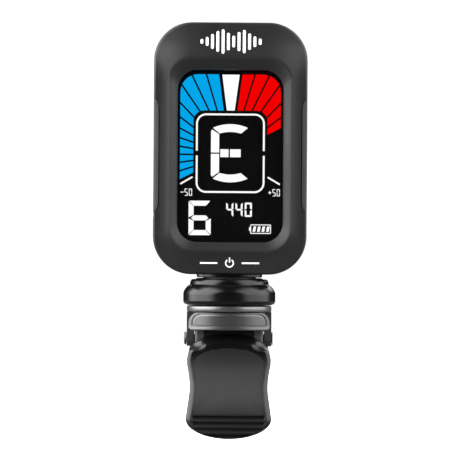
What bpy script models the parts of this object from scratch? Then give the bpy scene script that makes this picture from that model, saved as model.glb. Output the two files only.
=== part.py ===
"""A clip-on tuner for stringed instruments, at rest: the clip closed and the head upright.

Metres, +Z up. The display faces -Y and the jaws point to +Y. The origin is the middle of the
upper jaw pad's grip face. The clip pin runs along X: both levers turn on it, and so does the
yoke that carries the head. The head also turns about the vertical through the pin's middle.
Unless a comment says otherwise, every coordinate below is measured from the pin's middle.
"""

import math

import bmesh
import bpy
from mathutils import Matrix, Vector

MM = 0.001
GAP = 0.15 * MM  # running gap between neighbouring pieces
ROUND = 24  # facets round a small cylinder

# Clip
GRIP_TO_PIN = 18.0 * MM  # from the pin back to the middle of the jaw pads
PIN_HEIGHT = 4.0 * MM  # pin above the upper pad's grip face
PIN_RADIUS = 0.8 * MM
PIN_BORE = 0.88 * MM
PIN_HEAD_RADIUS = 1.22 * MM
EAR_INNER, EAR_OUTER = 4.7 * MM, 6.1 * MM
EAR_RADIUS = 3.4 * MM
REAR_EAR_INNER, REAR_EAR_OUTER = 3.1 * MM, 4.4 * MM
REAR_EAR_RADIUS = 2.6 * MM
JAW_TIP = 27.5 * MM
JAW_LIP = 2.0 * MM
UPPER_JAW_TOP, UPPER_JAW_UNDERSIDE = -0.6 * MM, -3.4 * MM
LOWER_JAW_TOP, LOWER_JAW_UNDERSIDE = -7.0 * MM, -9.6 * MM
PAD_FRONT, PAD_BACK, PAD_HALF_WIDTH = 11.0 * MM, 25.0 * MM, 5.0 * MM
UPPER_GRIP, LOWER_GRIP = -PIN_HEIGHT, -6.4 * MM
THUMB_TOP, THUMB_BOTTOM = 0.8 * MM, -18.9 * MM
THUMB_SHOULDER, THUMB_FLARE = -2.1 * MM, -15.0 * MM
THUMB_WALL = 1.9 * MM
THUMB_SCOOP = 0.7 * MM
THUMB_CROWN = 0.8 * MM
GROOVES = [-14.5 * MM, -15.7 * MM, -16.9 * MM, -18.1 * MM]

# Yoke and swivel
YOKE_HALF_WIDTH, ARM_INNER = 8.0 * MM, 6.6 * MM
DISC_RADIUS = 8.0 * MM
DISC_BOTTOM, DISC_TOP = 5.03 * MM, 6.2 * MM
ARM_DEPTH, ARM_END = 2.8 * MM, 1.5 * MM
APRON_FRONT, APRON_BACK, APRON_HALF_WIDTH = -4.7 * MM, -4.2 * MM, 6.3 * MM
COVER_HALF_WIDTH = 7.7 * MM
COVER_BOTTOM, COVER_TOP = 1.57 * MM, 4.9 * MM
COVER_FRONT, COVER_RADIUS = -7.9 * MM, 11.0 * MM
SHAFT_RADIUS, SHAFT_BORE = 2.6 * MM, 1.3 * MM
COLLAR_RADIUS = 8.72 * MM
COLLAR_TOP = 11.4 * MM
NECK_RADIUS, NECK_BOTTOM = 5.85 * MM, 11.6 * MM
FLANGE_BOTTOM, FLANGE_TOP = 13.0 * MM, 13.8 * MM
FLANGE_HALF = 3.6 * MM

# Head
HEAD_BOTTOM, HEAD_TOP, HEAD_HALF_WIDTH = 12.1 * MM, 59.7 * MM, 14.5 * MM
HEAD_CORNER = 7.2 * MM
HEAD_FRONT, HEAD_BACK = -5.2 * MM, 5.2 * MM
PARTING = 0.6 * MM
WING_DEPTH, WING_BOTTOM, WING_TOP, WING_CURVE = 0.94 * MM, 23.8 * MM, 45.4 * MM, 2.3 * MM
FRONT_WALL, BACK_WALL = -3.9 * MM, 4.2 * MM
BATTERY_HEIGHT = 41.0 * MM
DOOR_RADIUS = 11.1 * MM
DOOR_TWIST = math.radians(30)
BUTTON_X, BUTTON_HEIGHT, BUTTON_RADIUS = 6.0 * MM, 21.0 * MM, 2.4 * MM
BUTTON_TRAVEL = 0.35 * MM
BUTTON_SWITCH_TOP = 2.5 * MM
SCREW_X, SCREW_FROM_END = 9.0 * MM, 4.2 * MM
BOARD_FRONT, BOARD_BACK = -0.4 * MM, 0.6 * MM

# The auto-on switch under the upper jaw's cover
SWITCH_Y = 8.8 * MM
PLUNGER_TRAVEL = 0.6 * MM
PLUNGER_HEAD = -2.3 * MM


# ---------------------------------------------------------------- scene and objects


def clear_scene():
    for thing in list(bpy.data.objects):
        bpy.data.objects.remove(thing, do_unlink=True)


def collection_named(name):
    made = bpy.data.collections.new(name)
    bpy.context.scene.collection.children.link(made)
    return made


def finish_of(name, colour, roughness, metallic=0.0):
    made = bpy.data.materials.new(name)
    made.use_nodes = True
    shader = made.node_tree.nodes["Principled BSDF"]
    shader.inputs["Base Color"].default_value = (*colour, 1.0)
    shader.inputs["Roughness"].default_value = roughness
    shader.inputs["Metallic"].default_value = metallic
    return made


def empty_at(name, parent=None, location=(0, 0, 0)):
    made = bpy.data.objects.new(name, None)
    made.parent = parent
    made.location = location
    made.empty_display_size = 5 * MM
    TUNER.objects.link(made)
    return made


def object_from(name, mesh, parent):
    made = bpy.data.objects.new(name, mesh)
    made.parent = parent
    TUNER.objects.link(made)
    return made


def mesh_from(shape, name):
    """A mesh whose faces point out of the solid."""
    bmesh.ops.recalc_face_normals(shape, faces=shape.faces)
    if shape.calc_volume(signed=True) < 0:
        bmesh.ops.reverse_faces(shape, faces=shape.faces)
    mesh = bpy.data.meshes.new(name)
    shape.to_mesh(mesh)
    shape.free()
    return mesh


def finish(piece, material, sharp_degrees=35):
    piece.data.materials.clear()
    piece.data.materials.append(material)
    piece.data.shade_smooth()
    piece.data.set_sharp_from_angle(angle=math.radians(sharp_degrees))
    return piece


# ---------------------------------------------------------------- outlines


def arc(centre, radius, start, end, steps):
    """Points on a circle between two angles in degrees."""
    angles = [math.radians(start + (end - start) * i / steps) for i in range(steps + 1)]
    return [(centre[0] + radius * math.cos(a), centre[1] + radius * math.sin(a)) for a in angles]


def rounded(half_width, bottom, top, radius, steps=6):
    """A rounded rectangle, symmetric about the first axis."""
    x = half_width - radius
    return (
        arc((x, bottom + radius), radius, -90, 0, steps)
        + arc((x, top - radius), radius, 0, 90, steps)
        + arc((-x, top - radius), radius, 90, 180, steps)
        + arc((-x, bottom + radius), radius, 180, 270, steps)
    )


def circle(centre, radius, steps=ROUND):
    return arc(centre, radius, 0, 360, steps)[:-1]


def curve_through(knots, position):
    """The value at a position on a smooth curve through (position, value) knots."""
    index = 0
    while index < len(knots) - 2 and position > knots[index + 1][0]:
        index += 1

    def slope(at):
        low, high = max(at - 1, 0), min(at + 1, len(knots) - 1)
        return (knots[high][1] - knots[low][1]) / (knots[high][0] - knots[low][0])

    (start, low), (end, high) = knots[index], knots[index + 1]
    span = end - start
    t = (position - start) / span
    return (
        (2 * t**3 - 3 * t**2 + 1) * low
        + (t**3 - 2 * t**2 + t) * span * slope(index)
        + (3 * t**2 - 2 * t**3) * high
        + (t**3 - t**2) * span * slope(index + 1)
    )


# ---------------------------------------------------------------- shapes

# How an outline's two axes and its thickness map to X, Y, Z, by the axis of the thickness.
OUTLINE_FRAMES = {
    "X": Matrix(((0, 0, 1, 0), (1, 0, 0, 0), (0, 1, 0, 0), (0, 0, 0, 1))),
    "Y": Matrix(((1, 0, 0, 0), (0, 0, -1, 0), (0, 1, 0, 0), (0, 0, 0, 1))),
    "Z": Matrix.Identity(4),
}


def plate(name, outlines, axis, low, high, parent):
    """A flat plate from closed outlines, the later ones holes, between two places on an axis."""
    curve = bpy.data.curves.new(name, "CURVE")
    curve.dimensions = "2D"
    curve.fill_mode = "BOTH"
    curve.extrude = (high - low) / 2
    for outline in outlines:
        spline = curve.splines.new("POLY")
        spline.points.add(len(outline) - 1)
        for point, (u, v) in zip(spline.points, outline):
            point.co = (u, v, 0, 1)
        spline.use_cyclic_u = True
    guide = bpy.data.objects.new(name + "_curve", curve)
    TUNER.objects.link(guide)
    graph = bpy.context.evaluated_depsgraph_get()
    mesh = bpy.data.meshes.new_from_object(guide.evaluated_get(graph))
    bpy.data.objects.remove(guide, do_unlink=True)
    shape = bmesh.new()
    shape.from_mesh(mesh)
    bpy.data.meshes.remove(mesh)
    bmesh.ops.remove_doubles(shape, verts=shape.verts, dist=1e-7)
    bmesh.ops.dissolve_limit(shape, angle_limit=0.001, verts=shape.verts, edges=shape.edges)
    middle = (low + high) / 2
    offset = Vector([middle if letter == axis else 0 for letter in "XYZ"])
    shape.transform(Matrix.Translation(offset) @ OUTLINE_FRAMES[axis])
    return object_from(name, mesh_from(shape, name), parent)


def box(name, low, high, parent):
    shape = bmesh.new()
    bmesh.ops.create_cube(shape, size=1)
    low, high = Vector(low), Vector(high)
    size = high - low
    shape.transform(Matrix.Translation((low + high) / 2) @ Matrix.Diagonal((*size, 1)))
    return object_from(name, mesh_from(shape, name), parent)


def cylinder(name, radius, low, high, centre, axis, parent, steps=ROUND):
    """A cylinder along an axis. Its centre is given on the other two axes, in XYZ order."""
    u, v = centre
    return plate(name, [circle((u, v), radius, steps)], axis, low, high, parent)


TURN_AXES = {
    "X": (0, math.pi / 2, 0),
    "Y": (-math.pi / 2, 0, 0),
    "Z": (0, 0, 0),
}


def turned(name, profile, axis, location, parent, steps=48):
    """A turned piece. Its profile is (radius, place on the axis), from the far end down."""
    closed = profile[0][0] > 0
    mesh = bpy.data.meshes.new(name)
    count = len(profile)
    edges = [(i, (i + 1) % count) for i in range(count if closed else count - 1)]
    mesh.from_pydata([(radius, 0, along) for radius, along in profile], edges, [])
    piece = object_from(name, mesh, parent)
    piece.location = location
    piece.rotation_euler = TURN_AXES[axis]
    screw = piece.modifiers.new("Turn", "SCREW")
    screw.steps = screw.render_steps = steps
    screw.use_merge_vertices = True
    screw.merge_threshold = 1e-6
    return piece


def loft(name, sections, parent):
    """A solid through closed sections with the same number of points."""
    shape = bmesh.new()
    rings = [[shape.verts.new(point) for point in section] for section in sections]
    count = len(rings[0])
    for ring, following in zip(rings, rings[1:]):
        for i in range(count):
            j = (i + 1) % count
            shape.faces.new((ring[i], ring[j], following[j], following[i]))
    shape.faces.new(rings[0])
    shape.faces.new(rings[-1])
    return object_from(name, mesh_from(shape, name), parent)


def wire(name, points, radius, parent, facets=2):
    """A round wire along straight stretches, as a mesh with welded ends."""
    curve = bpy.data.curves.new(name, "CURVE")
    curve.dimensions = "3D"
    curve.bevel_depth = radius
    curve.bevel_resolution = facets
    curve.use_fill_caps = True
    spline = curve.splines.new("POLY")
    spline.points.add(len(points) - 1)
    for point, place in zip(spline.points, points):
        point.co = (*place, 1)
    guide = bpy.data.objects.new(name + "_curve", curve)
    TUNER.objects.link(guide)
    graph = bpy.context.evaluated_depsgraph_get()
    mesh = bpy.data.meshes.new_from_object(guide.evaluated_get(graph))
    bpy.data.objects.remove(guide, do_unlink=True)
    shape = bmesh.new()
    shape.from_mesh(mesh)
    bpy.data.meshes.remove(mesh)
    bmesh.ops.remove_doubles(shape, verts=shape.verts, dist=1e-7)
    return object_from(name, mesh_from(shape, name), parent)


# ---------------------------------------------------------------- modifiers


def combine(piece, others, operation):
    for other in others:
        modifier = piece.modifiers.new(other.name, "BOOLEAN")
        modifier.operation = operation
        modifier.object = other
        modifier.solver = "EXACT"
        other.hide_render = True
        other.display_type = "WIRE"
        TUNER.objects.unlink(other)
        CUTTERS.objects.link(other)


def cut(piece, *cutters):
    combine(piece, cutters, "DIFFERENCE")


def join(piece, *others):
    combine(piece, others, "UNION")


def soften(piece, width, segments=2, degrees=40):
    modifier = piece.modifiers.new("Soften", "BEVEL")
    modifier.width = width
    modifier.segments = segments
    modifier.limit_method = "ANGLE"
    modifier.angle_limit = math.radians(degrees)


# ---------------------------------------------------------------- head: covers


def housing_blank(name, parent):
    """The whole head as one solid, with its neck: both covers are cut from it."""
    rise = [(0.0, 3.4), (0.3, 4.3), (0.9, 4.9), (1.6, 5.2)]
    dome = [(0.0, -3.0), (0.15, -3.9), (0.6, -4.6), (1.4, -5.05), (2.3, -5.2)]
    sections = []
    for inset, y in rise[::-1] + dome:
        inset = inset * MM
        outline = rounded(
            HEAD_HALF_WIDTH - inset, HEAD_BOTTOM + inset, HEAD_TOP - inset, HEAD_CORNER - inset
        )
        sections.append([(x, y * MM, z) for x, z in outline])
    blank = loft(name, sections, parent)
    overlap = 0.8 * MM
    neck = cylinder(
        name + "_neck", NECK_RADIUS, NECK_BOTTOM, HEAD_BOTTOM + overlap, (0, 0), "Z", parent, 32
    )
    neck.scale = (1, (HEAD_BACK - 0.4 * MM) / NECK_RADIUS, 1)
    join(blank, neck)
    return blank


def wing_edge(depth, gap):
    """The inner edge of the right wing, from bottom to top: a quarter ellipse at each end."""
    inner = HEAD_HALF_WIDTH - depth
    points = []
    for step in range(6):
        angle = math.radians(90 * step / 5)
        x = HEAD_HALF_WIDTH - depth * math.sin(angle)
        points.append((x, WING_BOTTOM + gap + WING_CURVE * (1 - math.cos(angle))))
    points[-1] = (inner, points[-1][1])
    middle = (WING_BOTTOM + WING_TOP) / 2
    return points + [(x, 2 * middle - z) for x, z in points[::-1]]


def mirrored(points):
    return [(-u, v) for u, v in points[::-1]]


def screw_places():
    """The four cover screws, as (x, z)."""
    for z in (HEAD_BOTTOM + SCREW_FROM_END, HEAD_TOP - SCREW_FROM_END):
        for x in (-SCREW_X, SCREW_X):
            yield x, z


def shaft_seat(name, parent):
    """What the swivel shaft and its square flange take out of the covers' bottom wall."""
    bore = cylinder(
        name + "_bore", SHAFT_RADIUS + GAP, NECK_BOTTOM - 1 * MM, 15 * MM, (0, 0), "Z", parent
    )
    half = FLANGE_HALF + GAP
    slot = box(
        name + "_slot",
        (-half, -half, FLANGE_BOTTOM - GAP),
        (half, half, FLANGE_TOP + GAP),
        parent,
    )
    return bore, slot


def cavity(name, front, back, parent):
    outline = rounded(12.2 * MM, 14.4 * MM, 57.4 * MM, 5.0 * MM)
    return plate(name, [outline], "Y", front, back, parent)


def window(parent):
    """The bevelled display window, wider at the face than at the lens."""
    outer = (11.4 * MM, 16.6 * MM, 52.8 * MM, 4.2 * MM)
    inner = (9.97 * MM, 18.2 * MM, 50.7 * MM, 3.7 * MM)
    sill = -4.15 * MM
    beyond = -5.4 * MM
    reach = (sill - beyond) / (sill - HEAD_FRONT)
    widest = [a + (b - a) * reach for a, b in zip(inner, outer)]
    sections = []
    for shape, y in ((widest, beyond), (inner, sill), (inner, FRONT_WALL + 0.5 * MM)):
        sections.append([(x, y, z) for x, z in rounded(*shape)])
    return loft("window_cutter", sections, parent)


def front_cover(parent, material):
    piece = housing_blank("front_cover", parent)
    far = 20 * MM
    behind = box(
        "front_cover_back_cutter",
        (-far, PARTING - GAP / 2, 0),
        (far, far, HEAD_TOP + far),
        parent,
    )
    wing = wing_edge(WING_DEPTH, -GAP / 2)
    outside = HEAD_HALF_WIDTH + 2 * MM
    wing = wing + [(outside, wing[-1][1]), (outside, wing[0][1])]
    wings = [
        plate("front_cover_wing_cutter_" + side, [outline], "Y", -far, PARTING, parent)
        for side, outline in (("right", wing), ("left", mirrored(wing)))
    ]
    cut(piece, behind, *wings)
    cut(piece, cavity("front_cavity_cutter", FRONT_WALL, PARTING + 1 * MM, parent))
    cut(piece, window(parent))
    for number, place in enumerate(screw_places(), 1):
        boss = cylinder(
            f"front_boss_{number}",
            1.4 * MM,
            FRONT_WALL - 0.2 * MM,
            BOARD_FRONT - 0.1 * MM,
            place,
            "Y",
            parent,
            16,
        )
        pilot = cylinder(
            f"front_pilot_{number}", 0.85 * MM, -3.4 * MM, 0, place, "Y", parent, 12
        )
        join(piece, boss)
        cut(piece, pilot)
    cut(piece, *shaft_seat("front_seat", parent))
    return finish(piece, material)


def rear_cover(parent, material):
    piece = housing_blank("rear_cover", parent)
    far = 20 * MM
    edge = wing_edge(WING_DEPTH - GAP / 2, GAP / 2)
    outside = HEAD_HALF_WIDTH + 2 * MM
    right = [(outside, edge[0][1]), *edge, (outside, edge[-1][1])]
    low, high = 0, HEAD_TOP + far
    outline = [(outside, low), *right, (outside, high)]
    outline += [(-u, v) for u, v in outline[::-1]]
    ahead = plate("rear_cover_front_cutter", [outline], "Y", -far, PARTING + GAP / 2, parent)
    cut(piece, ahead)
    cut(piece, cavity("rear_cavity_cutter", -1 * MM, BACK_WALL, parent))
    for number, place in enumerate(screw_places(), 1):
        column = cylinder(
            f"rear_column_{number}",
            2.2 * MM,
            BOARD_BACK + 0.2 * MM,
            BACK_WALL + 0.3 * MM,
            place,
            "Y",
            parent,
            20,
        )
        join(piece, column)
        cut(
            piece,
            cylinder(f"rear_hole_{number}", 0.9 * MM, 0, 4 * MM, place, "Y", parent, 12),
            cylinder(f"rear_sink_{number}", 1.5 * MM, 3.75 * MM, 7 * MM, place, "Y", parent, 20),
        )
    hole = cylinder(
        "door_hole_cutter",
        DOOR_RADIUS + 0.2 * MM,
        3 * MM,
        7 * MM,
        (0, BATTERY_HEIGHT),
        "Y",
        parent,
        48,
    )
    cut(piece, hole)
    for number in range(3):
        notch = door_lug(f"door_notch_cutter_{number}", parent, 0.2 * MM, 7 * MM)
        notch.rotation_euler = (0, DOOR_TWIST - lug_angle(number), 0)
        cut(piece, notch)
    for side, x in (("right", BUTTON_X), ("left", -BUTTON_X)):
        radius = BUTTON_RADIUS + 0.2 * MM
        place = (x, BUTTON_HEIGHT)
        cut(
            piece,
            cylinder("button_hole_" + side, radius, 3 * MM, 7 * MM, place, "Y", parent),
        )
    cut(piece, *shaft_seat("rear_seat", parent))
    return finish(piece, material)


def lug_angle(number):
    return math.radians(90 + 120 * number)


def door_lug(name, parent, margin=0.0, top=4.05 * MM):
    """A bayonet lug of the battery door, pointing along +X from the door's axis."""
    half = 2.0 * MM + margin
    piece = box(
        name,
        (10.7 * MM, 3.3 * MM, -half),
        (11.9 * MM + margin, top, half),
        parent,
    )
    piece.location = (0, 0, BATTERY_HEIGHT)
    return piece


def battery_door(parent, material):
    profile = [
        (0, 5.2),
        (10.8, 5.2),
        (11.1, 4.95),
        (11.1, 3.3),
        (10.4, 3.3),
        (10.4, 4.4),
        (0, 4.4),
    ]
    profile = [(radius * MM, y * MM) for radius, y in profile]
    piece = turned("battery_door", profile, "Y", (0, 0, BATTERY_HEIGHT), parent)
    for number in range(3):
        lug = door_lug(f"door_lug_{number}", parent)
        lug.rotation_euler = (0, -lug_angle(number), 0)
        join(piece, lug)
    slot = box(
        "door_slot_cutter",
        (-6 * MM, 4.85 * MM, BATTERY_HEIGHT - 0.9 * MM),
        (6 * MM, 6 * MM, BATTERY_HEIGHT + 0.9 * MM),
        parent,
    )
    cut(piece, slot)
    return finish(piece, material)


def cover_screws(parent, material):
    profile = [
        (0, 4.9),
        (1.1, 4.9),
        (1.3, 4.7),
        (1.3, 3.8),
        (0.7, 3.8),
        (0.7, -2.8),
        (0, -3.2),
    ]
    profile = [(radius * MM, y * MM) for radius, y in profile]
    for number, (x, z) in enumerate(screw_places(), 1):
        piece = turned(f"cover_screw_{number}", profile, "Y", (x, 0, z), parent, 16)
        for turn, (wide, tall) in enumerate(((0.8, 0.18), (0.18, 0.8))):
            half = Vector((wide, 0, tall)) * MM
            place = Vector((x, 4.3 * MM, z))
            top = Vector((x, 6 * MM, z))
            cut(piece, box(f"screw_{number}_slot_{turn}", place - half, top + half, parent))
        finish(piece, material)


# ---------------------------------------------------------------- head: display and electronics


def head_plate(name, half_width, bottom, top, radius, front, back, parent, material):
    outline = rounded(half_width * MM, bottom * MM, top * MM, radius * MM, 4)
    return finish(plate(name, [outline], "Y", front * MM, back * MM, parent), material)


def main_board(parent, material):
    outline = rounded(11.7 * MM, 15.0 * MM, 56.8 * MM, 4.5 * MM)
    holes = [circle(place, 0.95 * MM, 12) for place in screw_places()]
    board = plate("main_board", [outline, *holes], "Y", BOARD_FRONT, BOARD_BACK, parent)
    return finish(board, material)


def coin_cell(parent, material):
    profile = [
        (0, 4.2),
        (9.7, 4.2),
        (10.0, 3.9),
        (10.0, 1.5),
        (9.6, 1.2),
        (8.8, 1.2),
        (8.6, 1.0),
        (0, 1.0),
    ]
    profile = [(radius * MM, y * MM) for radius, y in profile]
    piece = turned("coin_cell", profile, "Y", (0, 0, BATTERY_HEIGHT), parent, 40)
    return finish(piece, material)


def battery_contacts(parent, material):
    height = BATTERY_HEIGHT
    strip = rounded(4 * MM, height - 1.5 * MM, height + 1.5 * MM, 1 * MM, 3)
    negative = plate("battery_contact_negative", [strip], "Y", 0.7 * MM, 0.9 * MM, parent)
    finish(negative, material)
    angle = [(10.25, 3.1), (10.25, 0.7), (11.5, 0.7), (11.5, 0.95), (10.5, 0.95), (10.5, 3.1)]
    angle = [(x * MM, y * MM) for x, y in angle]
    half = 2.5 * MM
    positive = plate(
        "battery_contact_positive", [angle], "Z", height - half, height + half, parent
    )
    finish(positive, material)


def button(name, x, parent, material):
    """A round button with a retaining flange inside the wall and a stem over its switch."""
    radius = BUTTON_RADIUS / MM
    stem = (BUTTON_SWITCH_TOP + BUTTON_TRAVEL) / MM + 0.05
    profile = [
        (0, 5.5),
        (radius - 0.5, 5.5),
        (radius, 5.2),
        (radius, 4.0),
        (3.0, 4.0),
        (3.0, 3.4),
        (1.0, 3.4),
        (1.0, stem),
        (0, stem),
    ]
    profile = [(r * MM, y * MM) for r, y in profile]
    return finish(turned(name, profile, "Y", (x, 0, BUTTON_HEIGHT), parent, 32), material)


def button_switch(name, x, parent, material):
    half = 1.8 * MM
    piece = box(
        name,
        (x - half, 0.7 * MM, BUTTON_HEIGHT - half),
        (x + half, 2.0 * MM, BUTTON_HEIGHT + half),
        parent,
    )
    stem = cylinder(
        name + "_stem",
        0.8 * MM,
        1.5 * MM,
        BUTTON_SWITCH_TOP,
        (x, BUTTON_HEIGHT),
        "Y",
        parent,
        12,
    )
    join(piece, stem)
    return finish(piece, material)


def electronics(parent):
    dark_glass = finish_of("lens_acrylic", (0.005, 0.005, 0.006), 0.08)
    glass = finish_of("lcd_glass", (0.01, 0.01, 0.012), 0.15)
    frosted = finish_of("frosted_acrylic", (0.8, 0.8, 0.8), 0.5)
    rubber = finish_of("silicone_rubber", (0.55, 0.55, 0.5), 0.7)
    fibreglass = finish_of("circuit_board", (0.02, 0.16, 0.06), 0.5)
    ceramic = finish_of("chip_package", (0.02, 0.02, 0.02), 0.6)
    steel = finish_of("stainless_steel", (0.6, 0.6, 0.6), 0.3, 1.0)
    gold = finish_of("plated_contact", (0.9, 0.75, 0.45), 0.3, 1.0)
    head_plate("display_lens", 10.8, 17.4, 51.5, 4.2, -3.8, -3.0, parent, dark_glass)
    head_plate("lcd_panel", 10.3, 18.0, 51.2, 0.6, -2.8, -1.4, parent, glass)
    head_plate("light_guide", 10.0, 20.0, 51.0, 0.6, -1.3, -0.6, parent, frosted)
    head_plate("lcd_connector", 8.5, 18.2, 19.6, 0.2, -1.25, -0.5, parent, rubber)
    main_board(parent, fibreglass)
    head_plate("main_chip", 3.0, 22.4, 28.4, 0.2, 0.7, 1.6, parent, ceramic)
    crystal = plate(
        "crystal_can",
        [rounded(1.1 * MM, -3.0 * MM, 3.0 * MM, 1.05 * MM, 4)],
        "Y",
        0.7 * MM,
        2.2 * MM,
        parent,
    )
    crystal.location = (-9.6 * MM, 0, 27 * MM)
    finish(crystal, steel)
    coin_cell(parent, steel)
    battery_contacts(parent, gold)
    button_switch("power_switch", BUTTON_X, parent, steel)
    button_switch("mode_switch", -BUTTON_X, parent, steel)
    lead = finish_of("cable_sheath", (0.015, 0.015, 0.015), 0.5)
    path = [(0, 0, 4.8), (0, 0, 13.2), (0, 0.6, 14.2), (0, 1.15, 15.0), (0, 1.15, 17.5)]
    path = [Vector(point) * MM for point in path]
    finish(wire("head_cable", path, 0.4 * MM, parent), lead)


# ---------------------------------------------------------------- swivel and yoke


def swivel_shaft(parent, material):
    """A hollow shaft: its square flange is trapped between the covers, its lug limits the turn."""
    top, bottom = 14.5 * MM, 4.3 * MM
    profile = [
        (SHAFT_BORE, top),
        (SHAFT_RADIUS, top),
        (SHAFT_RADIUS, bottom),
        (SHAFT_BORE, bottom),
    ]
    piece = turned("swivel_shaft", profile, "Z", (0, 0, 0), parent, 32)
    half = FLANGE_HALF
    flange = plate(
        "shaft_flange",
        [[(-half, -half), (half, -half), (half, half), (-half, half)], circle((0, 0), 2.2 * MM)],
        "Z",
        FLANGE_BOTTOM,
        FLANGE_TOP,
        parent,
    )
    lug = box(
        "shaft_lug", (-0.4 * MM, -4.8 * MM, 7.4 * MM), (0.4 * MM, -2.2 * MM, 9.0 * MM), parent
    )
    join(piece, flange, lug)
    return finish(piece, material)


def shaft_nut(parent, material):
    inner, outer = SHAFT_RADIUS + 0.1 * MM, 3.9 * MM
    low, high = 4.25 * MM, 4.93 * MM
    profile = [(inner, high), (outer, high), (outer, low), (inner, low)]
    return finish(turned("shaft_nut", profile, "Z", (0, 0, 0), parent, 32), material)


def swivel_collar(parent, material):
    """The stepped ring on the yoke, hollow below for the shaft's lug, with a stop rib inside."""
    wide, top, bottom = COLLAR_RADIUS / MM, COLLAR_TOP / MM, DISC_TOP / MM + 0.1
    outer = [(6.3, top), (7.1, 11.1), (7.45, 10.7), (7.6, 10.05), (8.1, 9.55), (8.65, 8.85)]
    outer += [(wide, 8.5), (wide, 7.0), (8.45, 6.55), (8.0, bottom)]
    inner = [(5.6, bottom), (5.6, 9.4), (2.8, 9.4), (2.8, 10.9), (5.2, 10.9), (5.2, top)]
    profile = [(radius * MM, z * MM) for radius, z in outer + inner]
    piece = turned("swivel_collar", profile, "Z", (0, 0, 0), parent, 48)
    rib = box(
        "collar_rib", (-0.4 * MM, 3.0 * MM, 6.9 * MM), (0.4 * MM, 6.2 * MM, 9.8 * MM), parent
    )
    join(piece, rib)
    return finish(piece, material)


def ring(name, inner, outer, low, high, axis, parent, material, steps=32):
    profile = [(inner, high), (outer, high), (outer, low), (inner, low)]
    profile = [(radius * MM, along * MM) for radius, along in profile]
    return finish(turned(name, profile, axis, (0, 0, 0), parent, steps), material)


def yoke(parent, material):
    """A disc under the collar, an arm on each side of the clip, and an apron behind the cover."""
    piece = cylinder("yoke", DISC_RADIUS, DISC_BOTTOM, DISC_TOP, (0, 0), "Z", parent, 64)
    side = [
        (-ARM_DEPTH, DISC_TOP - 0.2 * MM),
        (-ARM_DEPTH, 3.6 * MM),
        (-1.8 * MM, 1.2 * MM),
        *arc((0, 0), ARM_END, 180, 360, 10),
        (1.8 * MM, 1.2 * MM),
        (ARM_DEPTH, 3.6 * MM),
        (ARM_DEPTH, DISC_TOP - 0.2 * MM),
    ]
    apron = box(
        "yoke_apron",
        (-APRON_HALF_WIDTH, APRON_FRONT, 1.9 * MM),
        (APRON_HALF_WIDTH, APRON_BACK, DISC_BOTTOM + 0.5 * MM),
        parent,
    )
    join(
        piece,
        plate("yoke_arm_left", [side], "X", -YOKE_HALF_WIDTH, -ARM_INNER, parent),
        plate("yoke_arm_right", [side], "X", ARM_INNER, YOKE_HALF_WIDTH, parent),
        apron,
    )
    bore = cylinder(
        "yoke_shaft_cutter", SHAFT_RADIUS + 0.2 * MM, 4 * MM, 8 * MM, (0, 0), "Z", parent
    )
    far = 10 * MM
    pin = cylinder("yoke_pin_cutter", PIN_BORE, -far, far, (0, 0), "X", parent, 16)
    cut(piece, bore, pin)
    return finish(piece, material)


def yoke_cover(parent, material):
    """A cover with a bowed front, clipped over the yoke's apron between the two arms."""
    bottom, top, half = COVER_BOTTOM, COVER_TOP, COVER_HALF_WIDTH
    swing = math.degrees(math.asin(half / COVER_RADIUS))
    centre = (0, COVER_FRONT + COVER_RADIUS)
    inside, back = APRON_HALF_WIDTH + GAP, APRON_FRONT - GAP
    end = -ARM_DEPTH - 0.2 * MM
    plan = [
        *arc(centre, COVER_RADIUS, -90 - swing, -90 + swing, 16),
        (half, end),
        (inside, end),
        (inside, back),
        (-inside, back),
        (-inside, end),
        (-half, end),
    ]
    piece = plate("yoke_cover", [plan], "Z", bottom, top, parent)
    small, large = 0.5 * MM, 1.6 * MM
    face = (
        arc((half - small, bottom + small), small, -90, 0, 3)
        + arc((half - large, top - large), large, 0, 90, 5)
        + arc((large - half, top - large), large, 90, 180, 5)
        + arc((small - half, bottom + small), small, 180, 270, 3)
    )
    outline = plate("yoke_cover_face", [face], "Y", -10 * MM, 0, parent)
    combine(piece, [outline], "INTERSECT")
    return finish(piece, material)


# ---------------------------------------------------------------- clip

THUMB_SIDES = [(-15.0, 7.89), (-12.3, 7.5), (-9.5, 7.18), (-7.0, 7.35), (-4.0, 7.76), (-2.1, 7.2)]
THUMB_FACE = [(-18.9, -11.5), (-14.0, -9.8), (-10.0, -8.2), (-6.0, -6.2), (-3.0, -4.8)]
THUMB_FACE += [(-1.5, -4.5), (0.0, -4.3), (0.8, -3.9)]
REAR_FACE = [(-18.9, 11.0), (-14.0, 9.3), (-9.0, 7.2), (-7.0, 6.6)]


def thumb_levels(rear):
    """(height, half-width) down a thumb piece: a round top, waisted sides and a round end."""
    levels = []
    if rear:
        levels += [(-8.0 * MM, 6.1 * MM), (-9.6 * MM, 6.6 * MM), (-12.3 * MM, 7.3 * MM)]
    else:
        rise = THUMB_TOP - THUMB_SHOULDER
        for degrees in (14, 30, 50, 70, 90):
            angle = math.radians(degrees)
            levels.append((THUMB_TOP - rise * (1 - math.cos(angle)), 7.2 * MM * math.sin(angle)))
        for z in (-3.0, -4.0, -5.5, -7.5, -9.5, -11.5, -13.5):
            levels.append((z * MM, curve_through(THUMB_SIDES, z) * MM))
    drop = THUMB_FLARE - THUMB_BOTTOM
    for degrees in (90, 70, 50, 32, 14):
        angle = math.radians(degrees)
        z = THUMB_BOTTOM + drop * (1 - math.cos(angle))
        levels.append((z, 7.89 * MM * math.sin(angle)))
    return levels


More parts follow.
